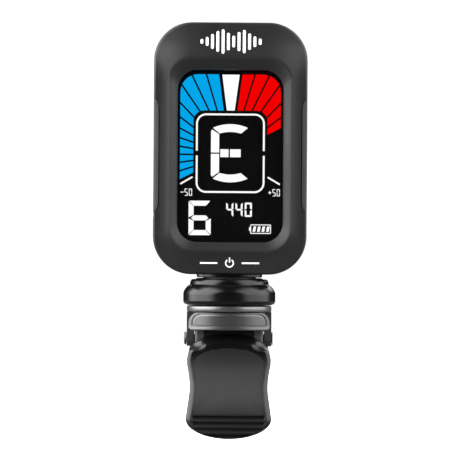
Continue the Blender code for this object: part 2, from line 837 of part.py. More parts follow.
def thumb_sections(rear):
    """Sections of a thumb piece: a crowned, scooped outer face and a plain inner one."""
    side = 1 if rear else -1
    knots = REAR_FACE if rear else THUMB_FACE
    shares = [-1.0, -0.93, -0.75, -0.5, -0.25, 0.0, 0.25, 0.5, 0.75, 0.93, 1.0]
    scoop_top, scoop_bottom = -2.0 * MM, -14.0 * MM
    sections = []
    for z, half in thumb_levels(rear):
        outer = curve_through(knots, z / MM) * MM
        along = (scoop_top - z) / (scoop_top - scoop_bottom)
        depth = THUMB_SCOOP * math.sin(math.pi * min(max(along, 0), 1)) ** 0.7
        points = []
        for share in shares:
            hollow = depth * max(0, 1 - (share / 0.85) ** 2)
            back = THUMB_CROWN * share**2 + hollow
            points.append((share * half, outer - side * back, z))
        inner = outer - side * THUMB_WALL
        points += [(share * half * 0.97, inner, z) for share in shares[::-1]]
        sections.append(points)
    return sections


def grooves(name, rear, parent):
    """Finger grooves across the end of a thumb piece."""
    knots = REAR_FACE if rear else THUMB_FACE
    lift = 0.15 * MM * (1 if rear else -1)
    cutters = []
    for number, z in enumerate(GROOVES):
        y = curve_through(knots, z / MM) * MM + lift
        half = 6.5 * MM if z > GROOVES[-1] else 3.8 * MM
        cutter = cylinder(
            f"{name}_groove_{number}", 0.42 * MM, -half, half, (y, z), "X", parent, 10
        )
        cutters.append(cutter)
    return cutters


def front_lever(parent, material):
    """The thumb piece, the ears on the pin and the upper jaw, as one moulding."""
    ear = arc((0, 0), EAR_RADIUS, 10, 190, 16)
    lip_back, lip = JAW_TIP - JAW_LIP, -5.0 * MM
    outline = [
        (JAW_TIP, -2.2 * MM),
        (JAW_TIP - 0.8 * MM, -1.5 * MM),
        (18 * MM, UPPER_JAW_TOP),
        (5.5 * MM, UPPER_JAW_TOP),
        *ear,
        (-3.6 * MM, -2.5 * MM),
        (-3.9 * MM, -4.4 * MM),
        (-1.5 * MM, -4.4 * MM),
        (6 * MM, UPPER_JAW_UNDERSIDE),
        (lip_back, UPPER_JAW_UNDERSIDE),
        (lip_back + 0.2 * MM, lip),
        (JAW_TIP, lip),
    ]
    piece = plate("front_lever", [outline], "X", -EAR_OUTER, EAR_OUTER, parent)
    join(piece, loft("thumb_piece", thumb_sections(False), parent))
    far = 20 * MM
    inner = 2.9 * MM
    room = [
        (-inner, -far),
        *arc((0, 0), inner, 180, 90, 6),
        (0, 5 * MM),
        (6 * MM, 5 * MM),
        (6 * MM, -far),
    ]
    cut(piece, plate("lever_room_cutter", [room], "X", -EAR_INNER, EAR_INNER, parent))
    cut(piece, cylinder("front_pin_cutter", PIN_BORE, -far, far, (0, 0), "X", parent, 16))
    cut(piece, *grooves("front", False, parent))
    margin = 0.2 * MM
    half = PAD_HALF_WIDTH + margin
    pad_seat = box(
        "upper_seat_cutter",
        (-half, PAD_FRONT - margin, -far),
        (half, PAD_BACK + margin, -2.9 * MM),
        parent,
    )
    piezo_seat = cylinder(
        "piezo_seat_cutter", 4.4 * MM, -3.2 * MM, -2.5 * MM, (0, GRIP_TO_PIN), "Z", parent, 32
    )
    floor = PLUNGER_HEAD - PLUNGER_TRAVEL - 0.1 * MM
    switch_room = box(
        "switch_room_cutter", (-2.2 * MM, 5 * MM, floor), (2.2 * MM, 10.6 * MM, 0), parent
    )
    channel = box(
        "channel_cutter", (-2.2 * MM, 10 * MM, -2.1 * MM), (2.2 * MM, 16 * MM, 0), parent
    )
    cover_seat = box(
        "cover_seat_cutter", (-3.0 * MM, 6.7 * MM, -1.25 * MM), (3.0 * MM, 17 * MM, 0), parent
    )
    cable_hole = cylinder(
        "cable_hole_cutter", 0.6 * MM, -3 * MM, -1.5 * MM, (0, 15 * MM), "Z", parent, 12
    )
    plunger_hole = cylinder(
        "plunger_hole_cutter", 0.75 * MM, -4 * MM, -2.5 * MM, (0, SWITCH_Y), "Z", parent, 16
    )
    cut(piece, pad_seat, piezo_seat, switch_room, channel, cover_seat, cable_hole, plunger_hole)
    return finish(piece, material)


def rear_lever(parent, material):
    """The squeeze pad behind the clip, two ears inside the front lever's and the lower jaw."""
    lip_back, lip = JAW_TIP - JAW_LIP, -5.4 * MM
    outline = [
        (JAW_TIP, lip),
        (lip_back + 0.2 * MM, lip),
        (lip_back, LOWER_JAW_TOP),
        (5.0 * MM, LOWER_JAW_TOP),
        (5.0 * MM, LOWER_JAW_UNDERSIDE),
        (10 * MM, LOWER_JAW_UNDERSIDE),
        (24 * MM, -8.9 * MM),
        (JAW_TIP, -8.2 * MM),
    ]
    piece = plate("rear_lever", [outline], "X", -EAR_OUTER, EAR_OUTER, parent)
    ear = arc((0, 0), REAR_EAR_RADIUS, 0, 230, 16)
    link = [(7 * MM, -7.6 * MM), *ear, (3.6 * MM, -9.0 * MM), (7 * MM, -9.0 * MM)]
    half = REAR_EAR_OUTER
    join(
        piece,
        plate("rear_link", [link], "X", -half, half, parent),
        loft("squeeze_pad", thumb_sections(True), parent),
    )
    far = 20 * MM
    inner = REAR_EAR_INNER
    room = [(-far, -far), (5.0 * MM, -9.4 * MM), (5.0 * MM, far), (-far, far)]
    cut(piece, plate("link_room_cutter", [room], "X", -inner, inner, parent))
    cut(piece, cylinder("rear_pin_cutter", PIN_BORE, -far, far, (0, 0), "X", parent, 16))
    cut(piece, *grooves("rear", True, parent))
    return finish(piece, material)


def torsion_spring(parent, material):
    """Three and a half turns round the pin, with a leg behind each thumb piece."""
    radius, turns, per_turn = 1.6 * MM, 3.5, 14
    half = 1.6 * MM
    steps = int(turns * per_turn)
    coil = []
    for step in range(steps + 1):
        angle = 2 * math.pi * step / per_turn
        x = half - 2 * half * step / steps
        coil.append((x, radius * math.cos(angle), radius * math.sin(angle)))
    rear_leg = [(half, 4.3 * MM, -8.6 * MM), (half, 1.8 * MM, -3.0 * MM)]
    front_leg = [(-half, -1.8 * MM, -3.0 * MM), (-half, -4.9 * MM, -8.8 * MM)]
    return finish(wire("torsion_spring", rear_leg + coil + front_leg, 0.35 * MM, parent), material)


def jaw_pads(parent, material):
    outline = rounded(PAD_HALF_WIDTH, PAD_FRONT, PAD_BACK, 1.5 * MM, 4)
    upper = plate("upper_jaw_pad", [outline], "Z", UPPER_GRIP, -3.0 * MM, parent)
    lower = plate("lower_jaw_pad", [outline], "Z", -6.95 * MM, LOWER_GRIP, parent)
    finish(upper, material)
    finish(lower, material)


def clip_pin(parent, material):
    shank, head, chamfer = PIN_RADIUS, PIN_HEAD_RADIUS, 0.1 * MM
    left = -YOKE_HALF_WIDTH - 0.05 * MM
    right = YOKE_HALF_WIDTH + 0.2 * MM
    profile = [
        (0, right),
        (shank - chamfer, right),
        (shank, right - chamfer),
        (shank, left),
        (head, left),
        (head, left - 0.3 * MM),
        (head - 2 * chamfer, left - 0.5 * MM),
        (0, left - 0.5 * MM),
    ]
    return finish(turned("clip_pin", profile, "X", (0, 0, 0), parent, 20), material)


def auto_on(parent, steel, dark):
    """A flat switch under the jaw cover, and the plunger that the lower jaw holds up."""
    half = 1.4 * MM
    switch = box(
        "auto_on_switch",
        (-half, SWITCH_Y - 1.5 * MM, -1.9 * MM),
        (half, SWITCH_Y + 1.5 * MM, -1.35 * MM),
        parent,
    )
    finish(switch, steel)
    head, tip = PLUNGER_HEAD / MM, LOWER_JAW_TOP / MM + 0.15
    profile = [(0, -2.0), (1.1, -2.0), (1.1, head), (0.6, head), (0.6, tip + 0.15), (0.4, tip)]
    profile.append((0, tip))
    profile = [(radius * MM, z * MM) for radius, z in profile]
    plunger = turned("auto_on_plunger", profile, "Z", (0, SWITCH_Y, 0), parent, 16)
    finish(plunger, dark)


def clip_electronics(parent, steel, dark):
    disc = cylinder(
        "piezo_sensor", 4.2 * MM, -2.85 * MM, -2.6 * MM, (0, GRIP_TO_PIN), "Z", parent, 32
    )
    finish(disc, finish_of("piezo_brass", (0.8, 0.6, 0.3), 0.35, 1.0))
    path = [
        (0, 15, -2.3),
        (0, 14.3, -1.75),
        (1.75, 11.5, -1.75),
        (1.75, 6.2, -1.75),
        (0.6, 4.6, 0.2),
        (0, 3.0, 2.2),
        (0, 1.6, 3.1),
        (0, 0.5, 3.4),
    ]
    path = [Vector(point) * MM for point in path]
    finish(wire("sensor_cable", path, 0.25 * MM, parent, 1), dark)
    auto_on(parent, steel, dark)
    cover = plate(
        "jaw_cover",
        [rounded(2.85 * MM, 6.85 * MM, 16.85 * MM, 0.5 * MM, 3)],
        "Z",
        -1.15 * MM,
        UPPER_JAW_TOP,
        parent,
    )
    finish(cover, dark)


# ---------------------------------------------------------------- the whole


def main():
    satin = finish_of("satin_black", (0.03, 0.03, 0.03), 0.45)
    gloss = finish_of("gloss_black", (0.008, 0.008, 0.008), 0.15)
    grey = finish_of("dark_grey", (0.1, 0.1, 0.1), 0.4)
    button_rubber = finish_of("button_rubber", (0.03, 0.03, 0.03), 0.6)
    pad_rubber = finish_of("pad_rubber", (0.02, 0.02, 0.02), 0.8)
    steel = finish_of("steel", (0.45, 0.45, 0.45), 0.3, 1.0)
    black_steel = finish_of("black_steel", (0.06, 0.06, 0.06), 0.35, 1.0)
    nylon = finish_of("nylon", (0.6, 0.6, 0.55), 0.5)

    clip = empty_at("clip_axis", None, (0, -GRIP_TO_PIN, PIN_HEIGHT))
    tilt = empty_at("tilt_axis", clip)
    swivel = empty_at("swivel_axis", tilt)

    front_cover(swivel, satin)
    rear_cover(swivel, satin)
    battery_door(swivel, satin)
    button("power_button", BUTTON_X, swivel, button_rubber)
    button("mode_button", -BUTTON_X, swivel, button_rubber)
    cover_screws(swivel, black_steel)
    electronics(swivel)
    swivel_shaft(swivel, gloss)
    shaft_nut(swivel, steel)

    swivel_collar(tilt, gloss)
    ring("friction_washer", 2.9, 5.0, 11.0, 11.5, "Z", tilt, nylon)
    yoke(tilt, grey)
    yoke_cover(tilt, grey)

    front_lever(clip, gloss)
    rear_lever(clip, gloss)
    torsion_spring(clip, steel)
    jaw_pads(clip, pad_rubber)
    clip_pin(clip, black_steel)
    ring("pin_retainer", 0.85, PIN_HEAD_RADIUS / MM, 8.03, 8.25, "X", clip, black_steel, 20)
    ring("tilt_washer_left", 0.95, 2.0, -6.5, -6.2, "X", clip, nylon, 24)
    ring("tilt_washer_right", 0.95, 2.0, 6.2, 6.5, "X", clip, nylon, 24)
    clip_electronics(clip, steel, button_rubber)


clear_scene()
TUNER = collection_named("clip_on_tuner")
CUTTERS = collection_named("cutters")
main()
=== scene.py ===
"""The looks of a clip-on tuner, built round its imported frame.

Shapes are drawn in millimetres from the middle of the clip pin, with +Z up and the display
facing -Y. `add_piece` places them in the frame, in metres, on the body they move with.
"""

from math import asin, copysign, cos, degrees, hypot, pi, radians, sin, sqrt

import bmesh
import bpy
import numpy as np
from mathutils import Matrix, Vector
from mathutils.bvhtree import BVHTree


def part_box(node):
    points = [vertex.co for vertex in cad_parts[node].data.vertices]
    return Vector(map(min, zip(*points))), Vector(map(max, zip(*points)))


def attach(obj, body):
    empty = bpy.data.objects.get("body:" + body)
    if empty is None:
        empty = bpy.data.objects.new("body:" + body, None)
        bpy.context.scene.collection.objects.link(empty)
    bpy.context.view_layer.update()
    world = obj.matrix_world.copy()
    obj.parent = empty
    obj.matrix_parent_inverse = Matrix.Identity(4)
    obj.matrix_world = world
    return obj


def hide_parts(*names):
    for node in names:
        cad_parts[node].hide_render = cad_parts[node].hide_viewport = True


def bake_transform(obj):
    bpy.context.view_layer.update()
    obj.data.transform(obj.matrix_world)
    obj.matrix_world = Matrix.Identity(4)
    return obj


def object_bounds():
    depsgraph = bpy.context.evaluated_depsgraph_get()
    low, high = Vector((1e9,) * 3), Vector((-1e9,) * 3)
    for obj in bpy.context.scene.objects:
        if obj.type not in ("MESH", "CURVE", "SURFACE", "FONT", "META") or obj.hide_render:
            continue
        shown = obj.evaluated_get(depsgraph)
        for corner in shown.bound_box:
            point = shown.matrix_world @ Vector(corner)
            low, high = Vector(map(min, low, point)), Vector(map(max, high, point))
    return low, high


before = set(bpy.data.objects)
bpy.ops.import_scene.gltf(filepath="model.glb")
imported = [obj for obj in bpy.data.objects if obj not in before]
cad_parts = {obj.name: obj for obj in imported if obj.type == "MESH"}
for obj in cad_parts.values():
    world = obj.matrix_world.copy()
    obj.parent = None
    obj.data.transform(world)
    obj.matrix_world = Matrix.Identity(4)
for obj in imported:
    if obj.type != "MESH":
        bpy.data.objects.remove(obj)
packed_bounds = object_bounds()

MM = 0.001
pin_low, pin_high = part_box("clip_pin")
PIN = Vector((0, (pin_low.y + pin_high.y) / 2, (pin_low.z + pin_high.z) / 2))
TO_FRAME = Matrix.Translation(PIN) @ Matrix.Scale(MM, 4)


def extent(node):
    """A CAD node's lowest and highest corners, in millimetres from the pin."""
    return [(corner - PIN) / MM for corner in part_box(node)]


def seat_of(node):
    """The middle of a CAD node as seen from the front, at Y = 0."""
    low, high = extent(node)
    return ((low.x + high.x) / 2, 0, (low.z + high.z) / 2)


# ---------------- sizes, in millimetres

# The head. A rounded rectangle is (half-width, bottom, top, corner radius).
case_low, case_high = extent("front_cover")
HEAD_HALF, HEAD_TOP, HEAD_FRONT = case_high.x, case_high.z, case_low.y
HEAD_BOTTOM, HEAD_CORNER = case_low.z + 0.5, 7.2
HEAD_BACK = extent("rear_cover")[1].y
PARTING = case_high.y
SEAM, CHAMFER = 0.18, 0.12
FACE_EDGE = HEAD_FRONT + 0.55  # the face beside its rounded edge; the window's rim is the crest
FACE_INSIDE = HEAD_FRONT + 1.3
EDGE_ROUND, EDGE_DROP = 0.4, 0.6
CORNER_DROP = 1.9
WINDOW_RIM = (11.4, HEAD_BOTTOM + 4.5, HEAD_TOP - 6.9, 4.2)
WINDOW_SILL = (9.97, HEAD_BOTTOM + 6.1, HEAD_TOP - 9.0, 3.7)
SILL_DEPTH = extent("display_lens")[0].y - 0.35
WING_DEPTH, WING_CURVE = 0.94, 2.3
WING_BOTTOM, WING_TOP = HEAD_BOTTOM + 11.7, HEAD_TOP - 14.3

# The back of the head. CUT_END lies behind it, and every recess is cut from there.
DOOR_HEIGHT = (extent("coin_cell")[0].z + extent("coin_cell")[1].z) / 2
DOOR_TWIST = 30
CUT_END = 7

# The thumb piece and the squeeze pad: sides are (height, half-width), faces (height, Y).
THUMB_BOTTOM = extent("front_lever")[0].z
THUMB_TOP = THUMB_BOTTOM + 19.7
THUMB_SHOULDER, THUMB_HALF = -2.1, 7.5
THUMB_FLARE, FLARE_HALF = -15.0, 8.07
THUMB_SIDES = [(THUMB_FLARE, FLARE_HALF), (-12.3, 7.69), (-9.5, 7.35), (-7.0, 7.52)]
THUMB_SIDES += [(-4.2, 7.92), (THUMB_SHOULDER, THUMB_HALF)]
THUMB_FACE = [(-18.9, -11.3), (-16.5, -11.25), (-14.0, -10.95), (-11.5, -10.0), (-9.0, -8.2)]
THUMB_FACE += [(-6.5, -6.3), (-4.0, -5.3), (-1.5, -4.8), (0.8, -4.5)]
REAR_FACE = [(-18.9, 11.0), (-14.0, 9.3), (-9.0, 7.2), (-7.0, 6.6)]
LEVER_THICKNESS = 1.9
GROOVES = [-14.76, -15.9, -17.03, -18.16]
PANEL_TOP, PANEL_SHOULDER, PANEL_BOTTOM = -1.8, -4.2, -14.2

# The clip. The pin's bore is a little wider than the pin.
EAR_INNER, EAR_OUTER, EAR_RADIUS = 4.7, 6.1, 2.95
PIN_RADIUS, BORE_RADIUS = 0.8, 0.88
JAW_TIP = extent("front_lever")[1].y
JAW_LIP = JAW_TIP - 2.0
JAW_TOP, JAW_UNDER = -0.6, -3.4
LOWER_TOP, LOWER_UNDER = -7.0, -9.6
COIL_HALF = 1.6

# Heights the lights aim at and the camera stands at.
MIDDLE_HEIGHT, EYE_HEIGHT = 20, 20.5


# ---------------- outlines


def arc(centre, radius, start, end, steps):
    """Points on a circle between two angles in degrees."""
    angles = [radians(start + (end - start) * i / steps) for i in range(steps + 1)]
    return [(centre[0] + radius * cos(a), centre[1] + radius * sin(a)) for a in angles]


def circle(centre, radius, steps=48):
    return arc(centre, radius, 0, 360, steps)[:-1]


def box_outline(left, right, low, high):
    return [(left, low), (right, low), (right, high), (left, high)]


def between(start, end, share):
    return tuple(a + (b - a) * share for a, b in zip(start, end))


def stretch(start, end, shares):
    """Points strictly between two ends, at the given shares of the way."""
    return [between(start, end, share) for share in shares if 0 < share < 1]


def even(count):
    return [i / count for i in range(1, count)]


def rounding(step):
    """(1 - cosine, 1 - sine) every few degrees of a quarter turn, for rounded edges."""
    turns = [radians(angle) for angle in range(0, 91, step)]
    return [(1 - cos(turn), 1 - sin(turn)) for turn in turns]


def rounded(half, bottom, top, radius, corner=6, side=(), across=()):
    """A rounded rectangle, with extra points at shares along its sides and its ends."""
    x = half - radius
    low, high = bottom + radius, top - radius
    return (
        stretch((half, low), (half, high), side)
        + arc((x, high), radius, 0, 90, corner)
        + stretch((x, top), (-x, top), across)
        + arc((-x, high), radius, 90, 180, corner)
        + stretch((-half, high), (-half, low), [1 - share for share in reversed(side)])
        + arc((-x, low), radius, 180, 270, corner)
        + stretch((-x, bottom), (x, bottom), across)
        + arc((x, low), radius, 270, 360, corner)
    )


def curve_through(knots, position):
    """The value at a position on a smooth curve through (position, value) knots."""
    index = 0
    while index < len(knots) - 2 and position > knots[index + 1][0]:
        index += 1

    def slope(at):
        low, high = max(at - 1, 0), min(at + 1, len(knots) - 1)
        return (knots[high][1] - knots[low][1]) / (knots[high][0] - knots[low][0])

    (start, low), (end, high) = knots[index], knots[index + 1]
    span = end - start
    t = (position - start) / span
    return (
        (2 * t**3 - 3 * t**2 + 1) * low
        + (t**3 - 2 * t**2 + t) * span * slope(index)
        + (3 * t**2 - 2 * t**3) * high
        + (t**3 - t**2) * span * slope(index + 1)
    )


def ramp(value, start, end):
    """0 before start, 1 after end, and smooth between them."""
    t = min(max((value - start) / (end - start), 0), 1)
    return t * t * (3 - 2 * t)


def quarter(value, radius):
    """How far a quarter-round edge has dropped at a distance from the edge's outer side."""
    inside = min(max(value / radius, 0), 1)
    return radius * (1 - sqrt(1 - (1 - inside) ** 2))


def inset_of(outline):
    """A function giving how far inside a closed outline a point lies, negative outside."""
    points = np.array(outline)
    ends = np.roll(points, -1, axis=0)
    edges = ends - points
    lengths = np.maximum((edges**2).sum(1), 1e-12)

    def inset(x, z):
        offset = np.array((x, z)) - points
        share = np.clip((offset * edges).sum(1) / lengths, 0, 1)
        gap = offset - edges * share[:, None]
        nearest = sqrt((gap**2).sum(1).min())
        crossing = (points[:, 1] > z) != (ends[:, 1] > z)
        run = np.where(crossing, edges[:, 1], 1)
        reached = points[:, 0] + (z - points[:, 1]) * edges[:, 0] / run
        inside = np.count_nonzero(crossing & (x < reached)) % 2
        return nearest if inside else -nearest

    return inset


# ---------------- shapes


def loft(rings, ring_closes=False):
    """Faces between closed sections with equally many points, capped unless the ring closes."""
    shape = bmesh.new()
    rows = [[shape.verts.new(point) for point in ring] for ring in rings]
    count = len(rows[0])
    following = rows[1:] + ([rows[0]] if ring_closes else [])
    for row, other in zip(rows, following):
        for i in range(count):
            j = (i + 1) % count
            shape.faces.new((row[i], row[j], other[j], other[i]))
    if not ring_closes:
        shape.faces.new(rows[0])
        shape.faces.new(rows[-1])
    return shape


def prism(outline, axis, low, high):
    """A straight-sided solid: its outline is given on the other two axes, in XYZ order."""
    order = {
        "X": lambda u, v, w: (w, u, v),
        "Y": lambda u, v, w: (u, w, v),
        "Z": lambda u, v, w: (u, v, w),
    }[axis]
    return loft([[order(u, v, w) for u, v in outline] for w in (low, high)])


def lathe(profile, axis="Z", steps=96):
    """A turned solid from a closed (radius, place on the axis) profile."""
    shape = bmesh.new()
    rows = []
    for radius, along in profile:
        count = steps if radius > 1e-6 else 1
        row = []
        for step in range(count):
            turn = 2 * pi * step / steps
            u, v = radius * cos(turn), radius * sin(turn)
            place = {"X": (along, u, v), "Y": (u, along, v), "Z": (u, v, along)}[axis]
            row.append(shape.verts.new(place))
        rows.append(row)
    for row, other in zip(rows, rows[1:] + [rows[0]]):
        for i in range(steps):
            j = (i + 1) % steps
            corners = [row[i % len(row)], row[j % len(row)]]
            corners += [other[j % len(other)], other[i % len(other)]]
            corners = [c for n, c in enumerate(corners) if c not in corners[:n]]
            if len(corners) > 2:
                shape.faces.new(corners)
    return shape


def tube(path, radius, facets=16):
    """A round wire along a path, with flat ends."""
    path = [Vector(point) for point in path]
    rings = []
    side = Vector((1, 0, 0))
    for i, point in enumerate(path):
        ahead = path[min(i + 1, len(path) - 1)] - path[max(i - 1, 0)]
        side = (side - ahead * side.dot(ahead) / ahead.length_squared).normalized()
        across = ahead.normalized().cross(side)
        section = circle((0, 0), radius, facets)
        rings.append([point + side * u + across * v for u, v in section])
    return loft(rings)


def moved(shape, offset):
    shape.transform(Matrix.Translation(offset))
    return shape


def turned(shape, angle, axis):
    shape.transform(Matrix.Rotation(radians(angle), 4, axis))
    return shape


def merged(*shapes):
    """One shape that holds all of these."""
    whole = bmesh.new()
    for shape in shapes:
        part = mesh_of(shape)
        whole.from_mesh(part)
        bpy.data.meshes.remove(part)
    return whole


def mesh_of(shape):
    """The shape as a mesh whose faces point outwards."""
    bmesh.ops.recalc_face_normals(shape, faces=shape.faces)
    mesh = bpy.data.meshes.new("shape")
    shape.to_mesh(mesh)
    shape.free()
    return mesh


def carved(shape, *cutters, operation="DIFFERENCE"):
    """The shape with the cutters taken out of it, or with the operation named."""
    link = bpy.context.scene.collection.objects.link
    whole = bpy.data.objects.new("carved", mesh_of(shape))
    link(whole)
    helpers = [whole]
    for cutter in cutters:
        helper = bpy.data.objects.new("cutter", mesh_of(cutter))
        link(helper)
        modifier = whole.modifiers.new("Carve", "BOOLEAN")
        modifier.operation, modifier.solver, modifier.object = operation, "EXACT", helper
        helpers.append(helper)
    graph = bpy.context.evaluated_depsgraph_get()
    result = bpy.data.meshes.new_from_object(whole.evaluated_get(graph))
    made = bmesh.new()
    made.from_mesh(result)
    bpy.data.meshes.remove(result)
    for helper in helpers:
        bpy.data.objects.remove(helper, do_unlink=True)
    return made


def relief(rows, front, back, columns=64):
    """A plate over (height, half-width) rows, between a front and a back surface y(x, z)."""
    shares = [sin(pi * (i / columns - 0.5)) for i in range(columns + 1)]
    rings = []
    for z, half in rows:
        ring = [(share * half, front(share * half, z), z) for share in shares]
        ring += [(share * half, back(share * half, z), z) for share in reversed(shares)]
        rings.append(ring)
    return loft(rings)


def soften(piece, width, segments, angle):
    """Rounds a piece's edges that are sharper than an angle, to a width in millimetres."""
    softened = piece.modifiers.new("Bevel", "BEVEL")
    softened.width = width * MM
    softened.segments = segments
    softened.limit_method = "ANGLE"
    softened.angle_limit = radians(angle)
    return softened


def add_piece(name, shape, body, material, stands_for=(), bevel=0.0, sharp=32):
    """A finished piece of the model, riding on a body."""
    shape.transform(TO_FRAME)
    mesh = mesh_of(shape)
    mesh.name = name
    piece = bpy.data.objects.new(name, mesh)
    bpy.context.scene.collection.objects.link(piece)
    mesh.materials.append(material)
    mesh.shade_smooth()
    mesh.set_sharp_from_angle(angle=radians(sharp))
    if bevel:
        soften(piece, bevel, 3, 35).harden_normals = True
    if body:
        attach(piece, body)
    if stands_for:
        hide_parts(*stands_for)
    return piece


# ---------------- materials


class Nodes:
    """A material's node tree, with short ways to add the nodes used here."""

    def __init__(self, name):
        self.material = bpy.data.materials.new(name)
        self.material.use_nodes = True
        self.tree = self.material.node_tree
        self.shader = self.tree.nodes["Principled BSDF"]
        self.place = self.tree.nodes.new("ShaderNodeTexCoord").outputs["Object"]

    def feed(self, socket, value):
        """Sets an input to a plain value, or links another node's output to it."""
        if isinstance(value, bpy.types.NodeSocket):
            self.tree.links.new(value, socket)
        else:
            socket.default_value = value

    def set(self, name, value):
        self.feed(self.shader.inputs[name], value)

    def add(self, kind, inputs=None, **settings):
        """A new node, with its settings and what goes into its inputs."""
        node = self.tree.nodes.new("ShaderNode" + kind)
        for key, value in settings.items():
            setattr(node, key, value)
        for key, value in (inputs or {}).items():
            self.feed(node.inputs[key], value)
        return node

    def noise(self, period, detail=3.0, stretch=(1, 1, 1), roughness=0.5):
        """Noise with a period in millimetres, stretched along the axes."""
        scale = [1 / value for value in stretch]
        place = self.add("Mapping", {"Vector": self.place, "Scale": scale}).outputs["Vector"]
        inputs = {"Vector": place, "Scale": 1 / (period * MM)}
        inputs |= {"Detail": detail, "Roughness": roughness}
        return self.add("TexNoise", inputs).outputs["Fac"]

    def between(self, share, low, high):
        """A value that goes from low to high as the share goes from 0.3 to 0.7."""
        inputs = {"Value": share, "From Min": 0.3, "From Max": 0.7, "To Min": low, "To Max": high}
        return self.add("MapRange", inputs).outputs["Result"]

    def blend(self, share, first, second):
        """A colour between two colours."""
        mix = self.add("Mix", {"Factor": share}, data_type="RGBA")
        colours = [socket for socket in mix.inputs if socket.type == "RGBA"]
        for socket, value in zip(colours, (first, second)):
            self.feed(socket, (*value, 1) if isinstance(value, tuple) else value)
        return [socket for socket in mix.outputs if socket.type == "RGBA"][0]

    def mix_shaders(self, share, first, second):
        inputs = {0: share, 1: first.outputs[0], 2: second.outputs[0]}
        return self.add("MixShader", inputs)

    def outside_only(self, outer, inner):
        """Gives faces seen from outside one shader and the same faces from inside another."""
        inside = self.add("NewGeometry").outputs["Backfacing"]
        sides = self.mix_shaders(inside, outer, inner)
        self.feed(self.tree.nodes["Material Output"].inputs["Surface"], sides.outputs[0])

    def bump(self, *layers):
        """Stacked bumps from (height, depth in micrometres) layers."""
        normal = None
        for height, depth in layers:
            inputs = {"Strength": 1.0, "Distance": depth * 1e-6, "Height": height}
            if normal:
                inputs["Normal"] = normal
            normal = self.add("Bump", inputs).outputs["Normal"]
        self.set("Normal", normal)


def plastic_nodes(name, colour, roughness, grain=0.25, depth=4.0, spread=0.06):
    """Moulded plastic: fine grain, a broad change of sheen and slight changes of colour."""
    nodes = Nodes(name)
    broad = nodes.noise(9.0, 2.0)
    fine = nodes.noise(grain, 4.0)
    nodes.set("Base Color", nodes.blend(broad, colour, tuple(c * 1.25 for c in colour)))
    sheen = nodes.between(broad, roughness - spread / 2, roughness + spread / 2)
    smudges = nodes.between(fine, -spread / 3, spread / 3)
    nodes.set("Roughness", nodes.add("Math", {0: sheen, 1: smudges}, operation="ADD").outputs[0])
    nodes.bump((fine, depth), (nodes.noise(grain * 6, 2.0), depth))
    return nodes


def plastic(name, colour, roughness, ior=None, **texture):
    """Moulded plastic. With an index of refraction, it mirrors the lights more strongly."""
    nodes = plastic_nodes(name, colour, roughness, **texture)
    if ior:
        nodes.set("Specular IOR Level", 1.0)
        nodes.set("IOR", ior)
    return nodes.material


def rubber(name, colour, grain=0.18):
    """Matte rubber with a fine grain and patches of lighter dust."""
    nodes = Nodes(name)
    fine = nodes.noise(grain, 6.0, roughness=0.65)
    dust = nodes.noise(4.0, 3.0)
    nodes.set("Base Color", nodes.blend(dust, colour, tuple(c * 1.6 for c in colour)))
    nodes.set("Roughness", nodes.between(fine, 0.68, 0.9))
    nodes.set("Specular IOR Level", 0.35)
    nodes.bump((fine, 12.0))
    return nodes.material


def metal(name, colour, roughness, brushed=(1, 1, 1)):
    """Metal with fine brushing along the stretched axis and patches of duller surface."""
    nodes = Nodes(name)
    lines = nodes.noise(0.08, 4.0, brushed)
    patches = nodes.noise(2.5, 3.0)
    nodes.set("Metallic", 1.0)
    nodes.set("Base Color", nodes.blend(patches, colour, tuple(c * 0.82 for c in colour)))
    nodes.set("Roughness", nodes.between(lines, roughness * 0.75, roughness * 1.3))
    nodes.bump((lines, 1.5))
    return nodes.material


def glow(name, colour, strength=1.0):
    """A lit segment: a fine pixel pattern in an even light."""
    nodes = Nodes(name)
    nodes.set("Base Color", (0, 0, 0, 1))
    nodes.set("Specular IOR Level", 0.0)
    nodes.set("Roughness", 1.0)
    cells = nodes.noise(0.12, 1.0)
    nodes.set("Emission Color", nodes.blend(cells, colour, tuple(c * 0.97 for c in colour)))
    nodes.set("Emission Strength", strength)
    return nodes.material


def clear_lens(name):
    """A clear window: what lies behind shows through, and its outer faces mirror the lights."""
    nodes = Nodes(name)
    clear = nodes.add("BsdfTransparent", {"Color": (0.97, 0.97, 0.97, 1)})
    roughness = nodes.between(nodes.noise(3.0, 3.0), 0.02, 0.06)
    gloss = nodes.add("BsdfGlossy", {"Roughness": roughness})
    fresnel = nodes.add("Fresnel", {"IOR": 1.45}).outputs[0]
    nodes.outside_only(nodes.mix_shaders(fresnel, clear, gloss), clear)
    return nodes.material


def printed(name):
    """White print, slightly uneven, with a painted glow that makes it read as white under soft
    light.
    """
    nodes = Nodes(name)
    ink = nodes.noise(0.2, 3.0)
    nodes.set("Base Color", nodes.blend(ink, (0.9, 0.9, 0.9), (0.8, 0.8, 0.8)))
    nodes.set("Roughness", 0.5)
    # Painted light: the print glows a little though it is no lamp.
    nodes.set("Emission Color", (1, 1, 1, 1))
    nodes.set("Emission Strength", 0.75)
    return nodes.material


def circuit_board():
    """Green solder mask over a fine weave, with patches that are darker and lighter."""
    nodes = Nodes("circuit_board")
    mask = nodes.noise(1.2, 2.0)
    weave = nodes.noise(0.3, 2.0, (1, 1, 4))
    tracks = nodes.between(mask, 0.0, 1.0)
    nodes.set("Base Color", nodes.blend(tracks, (0.01, 0.09, 0.03), (0.015, 0.16, 0.06)))
    nodes.set("Roughness", nodes.between(weave, 0.3, 0.45))
    nodes.bump((mask, 15.0), (weave, 4.0))
    return nodes.material


